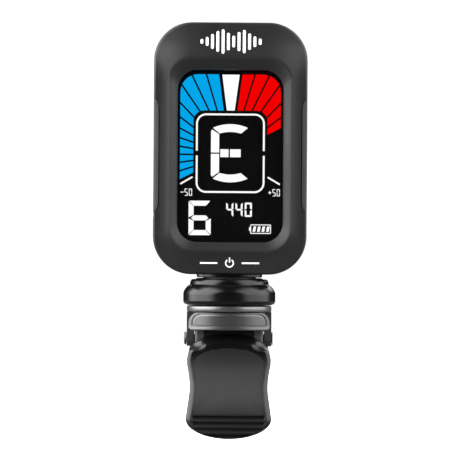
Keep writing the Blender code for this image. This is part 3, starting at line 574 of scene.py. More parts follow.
def thumb_plastic():
    """Gloss black with a matte finger panel, where the mesh's panel value is 1. The panel value
    also carries painted light: a lighter middle band, and a darker top and grooved end.
    """
    # The panel's lighter colour is partly its matte finish and partly painted light, given through
    # the panel value.
    gloss, matte_and_painted_light = (0.009, 0.009, 0.0095), (0.037, 0.037, 0.038)
    nodes = plastic_nodes("thumb_plastic", gloss, 0.16, grain=0.3, depth=1.0, spread=0.04)
    panel = nodes.add("Attribute", attribute_name="panel").outputs["Fac"]
    matte = nodes.between(nodes.noise(0.16, 4.0), 0.46, 0.56)
    glossy = nodes.between(nodes.noise(3.0, 2.0), 0.13, 0.2)
    mix = nodes.add("Mix", {"Factor": panel, 2: glossy, 3: matte}, data_type="FLOAT")
    nodes.set("Roughness", mix.outputs[0])
    nodes.set("Base Color", nodes.blend(panel, gloss, matte_and_painted_light))
    return nodes.material


CASE = plastic("satin_case", (0.021, 0.021, 0.022), 0.42, grain=0.2, depth=8.0, spread=0.09)
GLOSS = plastic("gloss_black", (0.004, 0.004, 0.0043), 0.22, grain=0.3, depth=0.8, spread=0.05)
GREY = plastic("satin_grey", (0.036, 0.036, 0.0365), 0.33, grain=0.22, depth=3.0, ior=1.63)
DISC = plastic("satin_disc", (0.032, 0.032, 0.0325), 0.37, grain=0.22, depth=3.0, ior=2.0)
# Painted light: the hubs are the levers' black plastic, made far lighter so they look lit in the
# gap under the yoke cover.
HUB_PAINTED_LIGHT = plastic("satin_hub_painted_light", (0.11, 0.11, 0.111), 0.5, grain=0.22, depth=3.0)
LEVER = plastic("satin_lever", (0.02, 0.02, 0.0205), 0.34, depth=2.0)
THUMB = thumb_plastic()
LCD_GLASS = plastic("lcd_glass", (0.0004, 0.0004, 0.0005), 0.3, grain=1.0, depth=0.2, spread=0.02)
ACRYLIC = plastic("frosted_acrylic", (0.75, 0.75, 0.73), 0.5, grain=0.15, depth=6.0)
CHIP = plastic("chip_package", (0.02, 0.02, 0.022), 0.6, grain=0.12, depth=4.0)
NYLON = plastic("black_nylon", (0.02, 0.02, 0.02), 0.5, grain=0.3, depth=3.0)
BUTTON_RUBBER = rubber("button_rubber", (0.028, 0.028, 0.029))
PAD_RUBBER = rubber("pad_rubber", (0.018, 0.018, 0.018), grain=0.25)
SILICONE = rubber("silicone", (0.5, 0.5, 0.46))
CABLE = rubber("cable_sheath", (0.012, 0.012, 0.012))
STEEL = metal("steel", (0.55, 0.55, 0.56), 0.25, brushed=(1, 1, 8))
BLACK_STEEL = metal("black_steel", (0.055, 0.055, 0.058), 0.3)
DULL_STEEL = metal("dull_steel", (0.2, 0.2, 0.205), 0.5)
CELL_STEEL = metal("cell_steel", (0.62, 0.61, 0.6), 0.22, brushed=(8, 1, 1))
BRASS = metal("plated_brass", (0.78, 0.58, 0.28), 0.28, brushed=(1, 8, 1))
LENS = clear_lens("smoked_lens")
BLUE = glow("segment_blue", (0.001, 0.425, 0.92))
RED = glow("segment_red", (1.0, 0.0, 0.0))
WHITE = glow("segment_white", (1.0, 1.0, 1.0), strength=1.2)
PRINT_WITH_GLOW = printed("white_print_painted_glow")

CAD_FINISHES = [
    (LENS, ["display_lens"]),
    (LCD_GLASS, ["lcd_panel"]),
    (ACRYLIC, ["light_guide"]),
    (SILICONE, ["lcd_connector"]),
    (circuit_board(), ["main_board"]),
    (CHIP, ["main_chip"]),
    (CELL_STEEL, ["coin_cell"]),
    (BRASS, ["battery_contact_negative", "battery_contact_positive", "piezo_sensor"]),
    (STEEL, ["crystal_can", "power_switch", "mode_switch", "shaft_nut", "auto_on_switch"]),
    (BLACK_STEEL, ["cover_screw_1", "cover_screw_2", "cover_screw_3", "cover_screw_4"]),
    (BLACK_STEEL, ["pin_retainer"]),
    (CABLE, ["head_cable", "sensor_cable"]),
    (GLOSS, ["swivel_shaft"]),
    (NYLON, ["friction_washer", "tilt_washer_left", "tilt_washer_right"]),
    (BUTTON_RUBBER, ["auto_on_plunger"]),
    (GREY, ["jaw_cover"]),
]


def finish_cad_nodes():
    """Gives the CAD nodes that stay visible their materials and slightly softened edges."""
    for material, names in CAD_FINISHES:
        for name in names:
            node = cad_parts[name]
            node.data.materials.clear()
            node.data.materials.append(material)
            soften(node, 0.05, 2, 40)


# ---------------- head


def wing_depth(z):
    """How far the rear cover's wing reaches in from the side at a height."""
    edge = min(z - WING_BOTTOM, WING_TOP - z)
    share = min(max(edge / WING_CURVE, 0), 1)
    return WING_DEPTH * sqrt(1 - (1 - share) ** 2)


def wing_levels():
    """Heights that follow a wing's two curved ends and its straight middle."""
    ends = [WING_CURVE * rise for rise, _ in rounding(9)]
    middle = stretch((WING_BOTTOM + WING_CURVE,), (WING_TOP - WING_CURVE,), even(10))
    levels = [WING_BOTTOM + rise for rise in ends] + [level for (level,) in middle]
    return levels + [WING_TOP - rise for rise in reversed(ends)]


def side_shares():
    """Where a head ring has points along its straight sides, as shares of the way up."""
    low, high = HEAD_BOTTOM + HEAD_CORNER, HEAD_TOP - HEAD_CORNER
    levels = [low + (WING_BOTTOM - low) * share for share in even(4)]
    levels += wing_levels()
    levels += [WING_TOP + (high - WING_TOP) * share for share in even(5)]
    return [(level - low) / (high - low) for level in levels]


SIDE_SHARES = side_shares()


def head_ring(size, y):
    outline = rounded(*size, corner=14, side=SIDE_SHARES, across=even(14))
    return [(x, y, z) for x, z in outline]


def inset_head(inset):
    return (HEAD_HALF - inset, HEAD_BOTTOM + inset, HEAD_TOP - inset, HEAD_CORNER - inset)


def edge_drop(inset):
    """How far back the case's rounded front edge lies at an inset from the side."""
    return EDGE_DROP * quarter(inset, EDGE_ROUND) / EDGE_ROUND


def corner_drop(x, z):
    """How far the front falls back towards the head's two upper corners."""
    flat_half = 4.0
    outwards = max(abs(x) - flat_half, 0) / (HEAD_HALF - flat_half)
    return CORNER_DROP * outwards**2 * ramp(z, HEAD_TOP - 10.0, HEAD_TOP - 3.5)


def wall_rings(thickness, deep, parting, towards):
    """Rings up a cover's inner wall and over its edge at the parting line."""
    inside = inset_head(thickness)
    rings = [head_ring(inside, deep), head_ring(inside, parting)]
    rings.append(head_ring(inset_head(CHAMFER), parting))
    rings.append(head_ring(inset_head(0), parting + towards * CHAMFER))
    return rings


def front_rings():
    """Rings over the front cover: inside, round the wall and the edge, over the face, down
    the window's bevel to its sill."""
    rings = wall_rings(2.2, FACE_INSIDE, PARTING, -1)
    for share, _ in rounding(9):
        inset = EDGE_ROUND * share
        rings.append(head_ring(inset_head(inset), FACE_EDGE + edge_drop(inset)))
    start = inset_head(EDGE_ROUND)
    for step in range(1, 13):
        share = step / 12
        y = FACE_EDGE + (HEAD_FRONT - FACE_EDGE) * share**2
        rings.append(head_ring(between(start, WINDOW_RIM, share * 0.97), y))
    for share in (0.04, 0.35, 0.7, 0.96):
        y = HEAD_FRONT + (SILL_DEPTH - HEAD_FRONT) * share
        rings.append(head_ring(between(WINDOW_RIM, WINDOW_SILL, share), y))
    rings.append(head_ring(WINDOW_SILL, SILL_DEPTH + 0.1))
    rings.append(head_ring(WINDOW_SILL, FACE_INSIDE))
    return rings


def front_shell():
    """The front cover, with a recess in each side for the rear cover's wings."""
    rings = []
    for ring in front_rings():
        pushed = []
        for x, y, z in ring:
            depth = wing_depth(z)
            limit = HEAD_HALF - (depth + SEAM if depth > 0 else 0)
            if y < HEAD_FRONT + 2:
                y += corner_drop(x, z)
            pushed.append((copysign(min(abs(x), limit), x), y, z))
        rings.append(pushed)
    return loft(rings, ring_closes=True)


def wing(side):
    """One side strip of the rear cover, which wraps round onto the face."""
    rings = []
    foot, slope = PARTING + SEAM, 0.42
    for z in wing_levels()[1:-1]:
        depth = wing_depth(z)
        section = []
        for inset in (depth, depth * 0.98, depth * 0.6, min(0.2, depth * 0.3)):
            y = FACE_EDGE + 0.12 + slope * (WING_DEPTH - inset)
            section.append((side * (HEAD_HALF - inset), y, z))
        section.append((side * (HEAD_HALF - min(0.06, depth * 0.1)), FACE_EDGE + 0.6, z))
        section.append((side * HEAD_HALF, FACE_EDGE + 0.75, z))
        section.append((side * HEAD_HALF, foot, z))
        section.append((side * (HEAD_HALF - depth), foot, z))
        rings.append(section)
    return loft(rings)


def cut_from_behind(place, depths, steps):
    """A round recess from (radius, Y) steps, cut from behind the head at a place."""
    profile = [(0, depths[0][1]), *depths, (depths[-1][0], CUT_END), (0, CUT_END)]
    return moved(lathe(profile, "Y", steps), place)


def rear_shell():
    """The rear cover as a tray, with its door recess, button holes and screw wells."""
    foot = PARTING + SEAM
    rings = wall_rings(2.3, HEAD_BACK - 1.0, foot, 1)
    rings += [head_ring(inset_head(1.6 * a), HEAD_BACK - 1.8 * b) for a, b in rounding(9)]
    door_place = (0, 0, DOOR_HEIGHT)
    cutters = [cut_from_behind(door_place, [(11.35, 3)], 96)]
    for number in range(3):
        notch = prism(box_outline(10.7, 12.1, -2.2, 2.2), "Y", 3.1, CUT_END)
        angle = 90 + 120 * number - DOOR_TWIST
        cutters.append(moved(turned(notch, -angle, "Y"), door_place))
    for button in ("power_button", "mode_button"):
        hole = [(2.6, 3), (2.6, 4.9), (2.9, 5.2)]
        cutters.append(cut_from_behind(seat_of(button), hole, 64))
    for number in range(1, 5):
        well = [(1.5, 3.7), (1.5, 4.9), (1.8, 5.25)]
        cutters.append(cut_from_behind(seat_of(f"cover_screw_{number}"), well, 48))
    return carved(loft(rings), *cutters)


def neck():
    """A flattened neck from the collar up into the head."""
    low, high = extent("swivel_collar")[1].z + 0.12, HEAD_BOTTOM + 0.2
    inner, outer, flatness = 3.0, 6.2, 0.64
    profile = [(inner, low), (outer - 0.15, low), (outer, low + 0.15), (outer, high), (inner, high)]
    shape = lathe(profile)
    shape.transform(Matrix.Diagonal((1, flatness, 1, 1)))
    return shape


def door():
    """The battery door: a coin slot, a ring of grip ribs and three lugs."""
    profile = [(0, 4.4), (10.4, 4.4), (10.4, 3.3), (11.1, 3.3), (11.1, 4.85)]
    profile += arc((10.75, 4.85), 0.35, 0, 90, 6)
    profile += [(9.4, 5.2), (9.25, 5.02), (7.9, 5.02), (7.75, 5.2), (0, 5.2)]
    slot = prism(rounded(6.0, -0.9, 0.9, 0.89), "Y", 4.6, 6)
    parts = [carved(lathe(profile, "Y", 120), slot)]
    ribs = 48
    for number in range(ribs):
        rib = prism(rounded(0.16, 8.1, 9.1, 0.12, 3), "Y", 4.9, 5.17)
        parts.append(turned(rib, 360 * (number + 0.5) / ribs, "Y"))
    for number in range(3):
        lug = prism(box_outline(10.7, 11.9, -2.0, 2.0), "Y", 3.3, 4.05)
        parts.append(turned(lug, -(90 + 120 * number), "Y"))
    return moved(merged(*parts), (0, 0, DOOR_HEIGHT))


def button(place):
    """A dished rubber button with a raised rim."""
    profile = [(0, 5.28), (1.2, 5.32), (1.65, 5.45), (1.85, 5.5), (2.1, 5.48), (2.3, 5.36)]
    profile += [(2.4, 5.15), (2.4, 4.0), (3.0, 4.0), (3.0, 3.4), (1.0, 3.4), (1.0, 2.9), (0, 2.9)]
    return moved(lathe(profile, "Y", 64), place)


def dot(x, z, radius, facets):
    """A low round mark on the head's back."""
    return prism(circle((x, z), radius, facets), "Y", HEAD_BACK - 0.1, HEAD_BACK + 0.06)


def rear_marks():
    """Printed dots on the back: three round the door, one or three above each button."""
    marks = []
    for angle, size in ((60, 0.55), (90, 0.8), (120, 0.55)):
        mark = moved(dot(0, 0, size / 2, 24), (0, 0, 12.9))
        marks.append(moved(turned(mark, 90 - angle, "Y"), (0, 0, DOOR_HEIGHT)))
    for node, count in (("power_button", 1), ("mode_button", 3)):
        height = extent(node)[1].z + 1.1
        for number in range(count):
            x = seat_of(node)[0] + (number - (count - 1) / 2) * 0.9
            marks.append(dot(x, height, 0.28, 20))
    return merged(*marks)


def build_head():
    """Adds the head's outer pieces and returns the front's surface, to print on."""
    front = front_shell()
    surface = BVHTree.FromBMesh(front)
    add_piece("front_shell", front, "head", CASE, ["front_cover"])
    rear = merged(rear_shell(), wing(-1), wing(1))
    add_piece("rear_shell", rear, "head", CASE, ["rear_cover"], sharp=30)
    add_piece("neck", neck(), "head", GLOSS)
    add_piece("door", door(), "battery_door", CASE, ["battery_door"])
    for node in ("power_button", "mode_button"):
        cap = button(seat_of(node))
        add_piece(node + "_cap", cap, node, BUTTON_RUBBER, [node])
    add_piece("rear_marks", rear_marks(), "head", PRINT_WITH_GLOW)
    return surface


# ---------------- display

# The scale's segments lie between rays from one centre, and between two rounded outlines.
FAN_CENTRE = (0.0, 34.65)
FAN_START, FAN_STEP, FAN_GAP = 82.3, 9.08, 0.16  # degrees, degrees, millimetres
DISPLAY_DEPTH = extent("lcd_panel")[0].y - 0.05
fan_outside = inset_of(rounded(9.5, 5.0, 49.9, 3.4, 10))
fan_inside = inset_of(rounded(7.0, 5.0, 43.05, 2.0, 8))


def flat(*outlines):
    """Thin lit or printed shapes at the display's depth."""
    return merged(*[prism(o, "Y", DISPLAY_DEPTH - 0.03, DISPLAY_DEPTH) for o in outlines])


def reach(inset, start, heading):
    """Where a ray from inside an outline crosses it."""
    near, far = 0.0, 40.0
    for _ in range(24):
        middle = (near + far) / 2
        if inset(start[0] + heading[0] * middle, start[1] + heading[1] * middle) > 0:
            near = middle
        else:
            far = middle
    return (start[0] + heading[0] * near, start[1] + heading[1] * near)


def fan_segment(side, number):
    """One scale segment between two rays, with an even gap to its neighbours."""
    outer, inner = [], []
    for step in range(7):
        share = step / 6
        angle = radians(FAN_START - FAN_STEP * (number + share))
        across, up = cos(angle), sin(angle)
        shift = FAN_GAP * (1 - 2 * share)
        start = (FAN_CENTRE[0] + side * up * shift, FAN_CENTRE[1] - across * shift)
        outer.append(reach(fan_outside, start, (side * across, up)))
        inner.append(reach(fan_inside, start, (side * across, up)))
    return outer + inner[::-1]


def bar(start, end, width):
    """A straight stroke between two points."""
    start, end = Vector(start), Vector(end)
    direction = (end - start).normalized() * width / 2
    across = Vector((-direction.y, direction.x))
    return [tuple(p) for p in (start + across, end + across, end - across, start - across)]


def flipped(outline, height):
    """An outline mirrored about a height."""
    return [(x, height * 2 - z) for x, z in outline]


def ring_stroke(size, width, gap_height, gap):
    """Two halves of a rounded frame line, parted at a height on both sides."""
    half, bottom, top, radius = size

    def upper(half, top, radius):
        points = [(half, gap_height + gap / 2)]
        points += arc((half - radius, top - radius), radius, 0, 90, 8)
        return points + [(-x, z) for x, z in reversed(points)]

    halves = []
    for end in (top, 2 * gap_height - bottom):
        outer = upper(half, end, radius)
        inner = upper(half - width, end - width, radius - width)
        halves.append(outer + inner[::-1])
    return [halves[0], flipped(halves[1], gap_height)]


def chord_arc(half, ends, middle):
    """A shallow arc symmetric about X = 0, from its left end over its middle to its right."""
    rise = middle - ends
    radius = (half**2 + rise**2) / (2 * abs(rise))
    swing = degrees(asin(half / radius))
    centre = (0, middle - copysign(radius, rise))
    upright = 90 if rise > 0 else -90
    return arc(centre, radius, upright + swing, upright - swing, 12)


def note_glyph():
    """The note shown in the frame, from curved, straight and square segments."""
    middle = 35.0
    arch = chord_arc(3.3, 39.8, 40.5) + chord_arc(2.0, 38.72, 39.03)[::-1]
    stem = [(-3.65, 35.13), (-3.65, 39.1), (-3.5, 39.4), (-3.38, 39.43)]
    stem += [(-2.11, 38.55), (-2.11, 35.13)]
    squares = [box_outline(-1.88, -0.34, 34.26, 35.75), box_outline(-0.05, 1.96, 34.26, 35.75)]
    return [arch, flipped(arch, middle), stem, flipped(stem, middle), *squares]


SEGMENTS_LIT = {"0": "abcdef", "4": "bcfg", "5": "acdfg", "6": "acdefg"}


def digit(figure, left, bottom, width, height, stroke):
    """A seven-segment figure, from its lit segments."""
    x0, x1 = left, left + width
    z0, z1 = bottom, bottom + height
    zm = (z0 + z1) / 2
    s, h, g = stroke, stroke / 2, stroke * 0.12
    shapes = {
        "a": [(x0 + g, z1), (x1 - g, z1), (x1 - s, z1 - s), (x0 + s, z1 - s)],
        "d": [(x0 + g, z0), (x1 - g, z0), (x1 - s, z0 + s), (x0 + s, z0 + s)],
        "g": [(x0 + h, zm), (x0 + s, zm + h), (x1 - s, zm + h)]
        + [(x1 - h, zm), (x1 - s, zm - h), (x0 + s, zm - h)],
        "f": [(x0, z1 - g), (x0 + s, z1 - s - g), (x0 + s, zm + h + g), (x0, zm + g)],
        "e": [(x0, z0 + g), (x0 + s, z0 + s + g), (x0 + s, zm - h - g), (x0, zm - g)],
        "b": [(x1, z1 - g), (x1 - s, z1 - s - g), (x1 - s, zm + h + g), (x1, zm + g)],
        "c": [(x1, z0 + g), (x1 - s, z0 + s + g), (x1 - s, zm - h - g), (x1, zm - g)],
    }
    return [shapes[letter] for letter in SEGMENTS_LIT[figure]]


def scale_ends():
    """The two ticks under the fan and the plus and minus fifty beside them."""
    shapes = []
    line, sign_height, sign_half = 0.15, 27.6, 0.275
    for side, edge in ((-1, -9.35), (1, 7.25)):
        shapes.append(bar((side * 9.4, 29.15), (side * 7.1, 30.5), 0.3))
        shapes.append(bar((edge, sign_height), (edge + 2 * sign_half, sign_height), line))
        for number, figure in enumerate("50"):
            shapes += digit(figure, edge + 0.76 + 0.82 * number, 26.92, 0.6, 1.35, 0.14)
    upright = 7.25 + sign_half
    shapes.append(bar((upright, sign_height - 0.3), (upright, sign_height + 0.3), line))
    return shapes


def battery_sign():
    """A small battery outline with four slanted bars."""
    left, right, low, high = 3.95, 7.7, 19.9, 21.5
    outer = box_outline(left, right, low, high)
    shapes = [bar(a, b, 0.16) for a, b in zip(outer, outer[1:] + outer[:1])]
    shapes.append(bar((left - 0.3, (low + high) / 2), (left, (low + high) / 2), 0.7))
    foot, head = low + 0.3, high - 0.3
    for number in range(4):
        x = left + 0.35 + 0.85 * number
        shapes.append([(x, foot), (x + 0.5, foot), (x + 0.7, head), (x + 0.2, head)])
    return shapes


def build_display():
    """Adds the lit segments, in three colours."""
    blue = flat(*[fan_segment(-1, number) for number in range(12)])
    add_piece("scale_blue", blue, "head", BLUE)
    red = flat(*[fan_segment(1, number) for number in range(6)])
    add_piece("scale_red", red, "head", RED)
    centre = [(-1.6, 49.85), (1.68, 49.85), (0.77, 43.07), (-0.7, 43.07)]
    readings = [centre, *ring_stroke((6.5, 27.5, 42.5, 1.9), 0.34, 35.0, 0.9), *note_glyph()]
    readings += scale_ends() + battery_sign()
    readings += digit("6", -7.8, 19.5, 4.2, 6.5, 0.95)
    for number, figure in enumerate("440"):
        readings += digit(figure, -0.7 + 1.75 * number, 23.0, 1.35, 2.7, 0.34)
    add_piece("readings", flat(*readings), "head", WHITE)


# ---------------- printed marks


def printed_on(surface, outlines):
    """Thin print that follows the case's front surface."""
    shapes = []
    for outline in outlines:
        front, back = [], []
        for x, z in outline:
            place, _, _, _ = surface.ray_cast(Vector((x, -20, z)), Vector((0, 1, 0)))
            front.append((x, place.y - 0.02, z))
            back.append((x, place.y + 0.1, z))
        shapes.append(loft([front, back]))
    return merged(*shapes)


def level_bars():
    """A plain row of sound-level bars."""
    heights = (0.9, 1.7, 2.8, 3.9, 4.6, 3.3, 2.2, 3.6, 4.4, 3.1, 2.0, 1.2)
    middle, pitch, half = 56.05, 1.0, 0.27
    shapes = []
    for number, height in enumerate(heights):
        x = (number - (len(heights) - 1) / 2) * pitch
        low, high = middle - height / 2 + half, middle + height / 2 - half
        shapes.append(arc((x, high), half, 0, 180, 8) + arc((x, low), half, 180, 360, 8))
    return shapes


def power_sign():
    """A plain power symbol between two dashes."""
    x, z, radius, line = 0.0, 14.25, 0.72, 0.24
    outer = arc((x, z), radius + line / 2, 125, 415, 28)
    inner = arc((x, z), radius - line / 2, 415, 125, 28)
    dashes = [bar((side * 2.3, z), (side * 5.6, z), 0.3) for side in (-1, 1)]
    return [outer + inner, bar((x, z + 0.1), (x, z + 1.05), line), *dashes]


# ---------------- swivel and yoke


def collar():
    """The stepped gloss ring: a small upper step, a ledge, a sloped shoulder and the drum."""
    low, high = extent("swivel_collar")
    wide, top, bottom = high.x, high.z, low.z
    profile = [(5.2, top), (6.0, top), (6.2, top - 0.08), (6.28, top - 0.25), (6.3, 11.3)]
    profile += [(6.4, 11.2), (6.95, 11.18), (7.15, 11.1), (7.28, 10.95), (7.36, 10.75)]
    profile += [(7.45, 10.4), (7.46, 10.2), (7.52, 10.12), (7.65, 10.06), (7.95, 9.82)]
    profile += [(8.2, 9.55), (8.44, 9.2), (8.62, 8.88), (8.71, 8.6), (wide, 8.3), (wide, 8.1)]
    profile += [(wide, 7.1), (wide, 6.95), (8.62, 6.72), (8.45, 6.5), (8.1, bottom + 0.1)]
    profile += [(8.0, bottom), (5.6, bottom), (5.6, 9.4), (2.8, 9.4), (2.8, 10.9), (5.2, 10.9)]
    return lathe(profile, steps=160)


def yoke_frame():
    """The disc under the collar, and two arms with an apron and two webs behind the cover."""
    high = extent("yoke")[1]
    wide, top, bottom = high.x, high.z, 5.03
    rim = [(2.8, bottom), (wide - 0.2, bottom), (wide - 0.06, bottom + 0.06)]
    rim += [(wide, bottom + 0.2), (wide, top - 0.25), (wide - 0.08, top - 0.08)]
    rim += [(wide - 0.25, top), (2.8, top)]
    disc = lathe(rim, steps=160)
    side = [(-2.8, bottom), (-2.8, 3.6), (-1.8, 1.2), *arc((0, 0), 1.5, 180, 360, 20)]
    side += [(1.8, 1.2), (2.8, 3.6), (2.8, bottom)]
    lip = [(-2.8, bottom), (-2.8, 3.6), (-1.9, 1.4), (-1.5, 1.4), (-2.4, 3.6), (-2.4, bottom)]
    plates = []
    for outline, inner, outer in ((side, 6.6, wide), (lip, 6.46, 6.7)):
        plates.append(prism(outline, "X", inner, outer))
        plates.append(prism(outline, "X", -outer, -inner))
    plates.append(prism(box_outline(-6.3, 6.3, -4.7, -4.2), "Z", 1.9, 5.2))
    for left, right in ((6.2, 6.7), (-6.2, -6.7)):
        plates.append(prism(box_outline(left, right, -4.3, -2.2), "Z", 4.0, 5.2))
    return disc, merged(*plates)


def cover_rows():
    """(height, half-width) rows of the yoke cover: small lower corners, large upper ones."""
    low, high = extent("yoke_cover")
    half, small, large = high.x, 0.6, 2.0
    straight = high.z - large - low.z - small
    rows = [(low.z + small * a, half - small * b) for a, b in rounding(15)]
    rows += [(low.z + small + straight * share, half) for share in even(24)]
    return rows + [(high.z - large * b, half - large * a) for a, b in rounding(6)]


def outline_from(rows):
    """The closed outline of (height, half-width) rows."""
    right = [(half, z) for z, half in rows]
    return right + [(-half, z) for z, half in reversed(rows)]


def yoke_cover():
    """A bowed cover: a rim, a fine groove, a raised middle and a bevelled lower lip."""
    rows = cover_rows()
    low, high = extent("yoke_cover")
    bow, step = 11.0, 0.12
    edge = inset_of(outline_from(rows))
    lip = low.z + 0.75
    corner = 1.6
    corner_height = high.z - 0.35 - corner
    panel = inset_of(
        [(-6.95, lip), (6.95, lip)]
        + arc((5.35, corner_height), corner, 0, 90, 8)
        + arc((-5.35, corner_height), corner, 90, 180, 8)
    )

    def front(x, z):
        surface = low.y + bow - sqrt(bow**2 - x**2)
        surface += step + quarter(max(edge(x, z), 0), 0.18)
        middle = panel(x, z)
        surface -= step * ramp(middle, 0.02, 0.22)
        groove = 1 - ramp(abs(middle + 0.03), 0.0, 0.1)
        surface += 0.14 * groove * ramp(z, lip - 0.1, lip + 0.2)
        surface -= 0.26 * (1 - ramp(z, lip - 0.12, lip + 0.14))
        return surface + step * min((z - low.z) / (lip - low.z), 1)

    def back(x, z):
        return -4.85 if abs(x) < 6.45 else -3.0

    return relief(rows, front, back, 120)


def pin():
    """The hinge pin with a domed head at the left and a riveted end at the right."""
    left, right = extent("clip_pin")[0].x, extent("clip_pin")[1].x
    head, shank = 1.22, PIN_RADIUS
    profile = [(0, left), (head - 0.35, left + 0.03), (head - 0.1, left + 0.12)]
    profile += [(head, left + 0.28), (head, left + 0.5), (shank, left + 0.5)]
    profile += [(shank, right - 0.1), (shank - 0.1, right), (0, right)]
    return lathe(profile, "X", 48)


def build_yoke():
    """Adds the collar, the yoke and its cover, and the pin they hang on."""
    ring = collar()
    add_piece("collar", ring, "yoke", GLOSS, ["swivel_collar"], sharp=25)
    disc, arms = yoke_frame()
    add_piece("yoke_disc", disc, "yoke", DISC, ["yoke"], sharp=40)
    add_piece("yoke_arms", arms, "yoke", GREY, bevel=0.12)
    add_piece("yoke_front", yoke_cover(), "yoke", GREY, ["yoke_cover"], sharp=50)
    add_piece("hinge_pin", pin(), "clip", DULL_STEEL, ["clip_pin"])


# ---------------- clip


def thumb_rows():
    """(height, half-width) rows down the thumb piece: a round top, a waist, a round end."""
    rows = []
    rise, drop = THUMB_TOP - THUMB_SHOULDER, THUMB_FLARE - THUMB_BOTTOM
    for angle in range(3, 91, 4):
        turn = radians(angle)
        rows.append((THUMB_TOP - rise * (1 - cos(turn)), THUMB_HALF * sin(turn) ** 0.9))
    for (z,) in stretch((THUMB_SHOULDER,), (THUMB_FLARE,), even(80)):
        rows.append((z, curve_through(THUMB_SIDES, z)))
    for angle in range(90, 2, -3):
        turn = radians(angle)
        rows.append((THUMB_BOTTOM + drop * (1 - cos(turn)), FLARE_HALF * sin(turn)))
    return rows


def groove_depth(x, z):
    """The finger grooves: round-ended channels, shorter towards the end."""
    half = min(6.5, thumb_half(z) - 1.0)
    away = max(abs(x) - half, 0)
    return sum(0.6 * (1 - ramp(hypot(away, z - height), 0.1, 0.42)) for height in GROOVES)


def panel_outline(outline):
    """The matte finger panel: the thumb piece's outline drawn in, under an arched top."""
    sides = [(x * 0.83, z) for x, z in outline]
    right = [(x, z) for x, z in sides if PANEL_BOTTOM < z < PANEL_SHOULDER and x > 0]
    rise = PANEL_TOP - PANEL_SHOULDER
    crown = [(6.35 * x, PANEL_SHOULDER + rise * z) for x, z in arc((0, 0), 1, 8, 172, 24)]
    return crown + [(-x, z) for x, z in right] + right[::-1]


def thumb_piece():
    """The thumb piece, with a function giving how far inside its finger panel a point lies."""
    rows = thumb_rows()
    outline = outline_from(rows)
    edge, panel = inset_of(outline), inset_of(panel_outline(outline))

    def front(x, z):
        half = thumb_half(max(z, THUMB_FLARE))
        surface = curve_through(THUMB_FACE, z) + 0.5 * (x / half) ** 2
        roll = 0.8 + 1.5 * ramp(z, -2.8, -0.8) + 0.3 * ramp(-z, 6.5, 9.0)
        surface += 0.82 * quarter(max(edge(x, z), 0), roll)
        surface += 0.34 * max(abs(x) - 4.4, 0) * ramp(z, -2.5, -1.2)
        surface += 0.3 * ramp(panel(x, z), -0.4, 4.5)
        return surface + groove_depth(x, z)

    def back(x, z):
        thicker = 0.7 + 0.6 * ramp(abs(x), 3.0, 4.5)
        return curve_through(THUMB_FACE, z) + LEVER_THICKNESS + thicker * ramp(z, -3.0, -1.0)

    return relief(rows, front, back, 120), panel


def thumb_half(z):
    """The thumb piece's half-width at a height, from its shoulder down to its round end."""
    if z > THUMB_FLARE:
        return curve_through(THUMB_SIDES, min(z, THUMB_SHOULDER))
    share = min((THUMB_FLARE - z) / (THUMB_FLARE - THUMB_BOTTOM), 1)
    return FLARE_HALF * sqrt(1 - share**2)


def mark_panel(piece, panel):
    """Stores where the matte finger panel is, for the thumb piece's material, with painted light in
    it: the panel is lighter at mid-height and darker towards its top and its grooved end.
    """
    values = []
    for vertex in piece.data.vertices:
        place = (vertex.co - PIN) / MM
        # Painted light: the panel value is full at mid-height and lower at the top and over the
        # grooves.
        matte_and_painted_light = 0.6 + 0.4 * ramp(-place.z, 2.0, 8.5) * ramp(place.z, -15.0, -10.0)
        beside = 0.7 * ramp(-place.z, 2.6, 5.0)
        values.append(matte_and_painted_light * (beside + (1 - beside) * ramp(panel(place.x, place.z), -0.1, 0.2)))
    layer = piece.data.attributes.new("panel", "FLOAT", "POINT")
    layer.data.foreach_set("value", values)


def bore():
    """A cutter for the pin's bore."""
    return lathe([(0, -9), (BORE_RADIUS, -9), (BORE_RADIUS, 9), (0, 9)], "X", 32)


def upper_jaw():
    """Ears on the pin and the upper jaw, with a room inside for spring and switch."""
    ear = arc((0, 0), EAR_RADIUS, 12, 190, 32)
    outline = [(JAW_TIP, -2.2), (JAW_TIP - 0.8, -1.5), (18, JAW_TOP), (5.5, JAW_TOP), *ear]
    outline += [(-3.6, -2.5), (-3.9, -4.4), (-1.5, -4.4), (6, JAW_UNDER), (JAW_LIP, JAW_UNDER)]
    outline += [(JAW_LIP + 0.2, -5.0), (JAW_TIP, -5.0)]
    jaw = prism(outline, "X", -EAR_OUTER, EAR_OUTER)
    room = [(-2.9, -20), *arc((0, 0), 2.9, 180, 90, 8), (0, 5), (6, 5), (6, -20)]
    seat = prism(box_outline(-5.2, 5.2, -20, -2.9), "Y", 10.8, 25.2)
    switch = prism(box_outline(-2.2, 2.2, -3.0, 0), "Y", 5, 10.6)
    cover = prism(box_outline(-3.0, 3.0, -1.25, 0), "Y", 6.7, 17)
    grips = []
    for number in range(5):
        groove = circle((19.0 + 1.15 * number, -0.42 - 0.1 * number), 0.3, 16)
        grips.append(prism(groove, "X", -4.4, 4.4))
    inside = prism(room, "X", -EAR_INNER, EAR_INNER)
    return carved(jaw, inside, seat, switch, cover, bore(), *grips)


def hubs():
    """The front lever's two round hubs, which fill the gap to the yoke's arms."""
    radius, inner = EAR_RADIUS, EAR_INNER
    profile = [(1.0, inner), (radius - 0.1, inner), (radius + 0.03, inner + 0.12)]
    profile += arc((radius - 0.47, 5.9), 0.5, 0, 90, 8)
    profile += [(2.35, 6.4), (2.3, EAR_OUTER - 0.1), (1.0, EAR_OUTER - 0.1)]
    return merged(*[lathe([(r, side * x) for r, x in profile], "X", 96) for side in (-1, 1)])


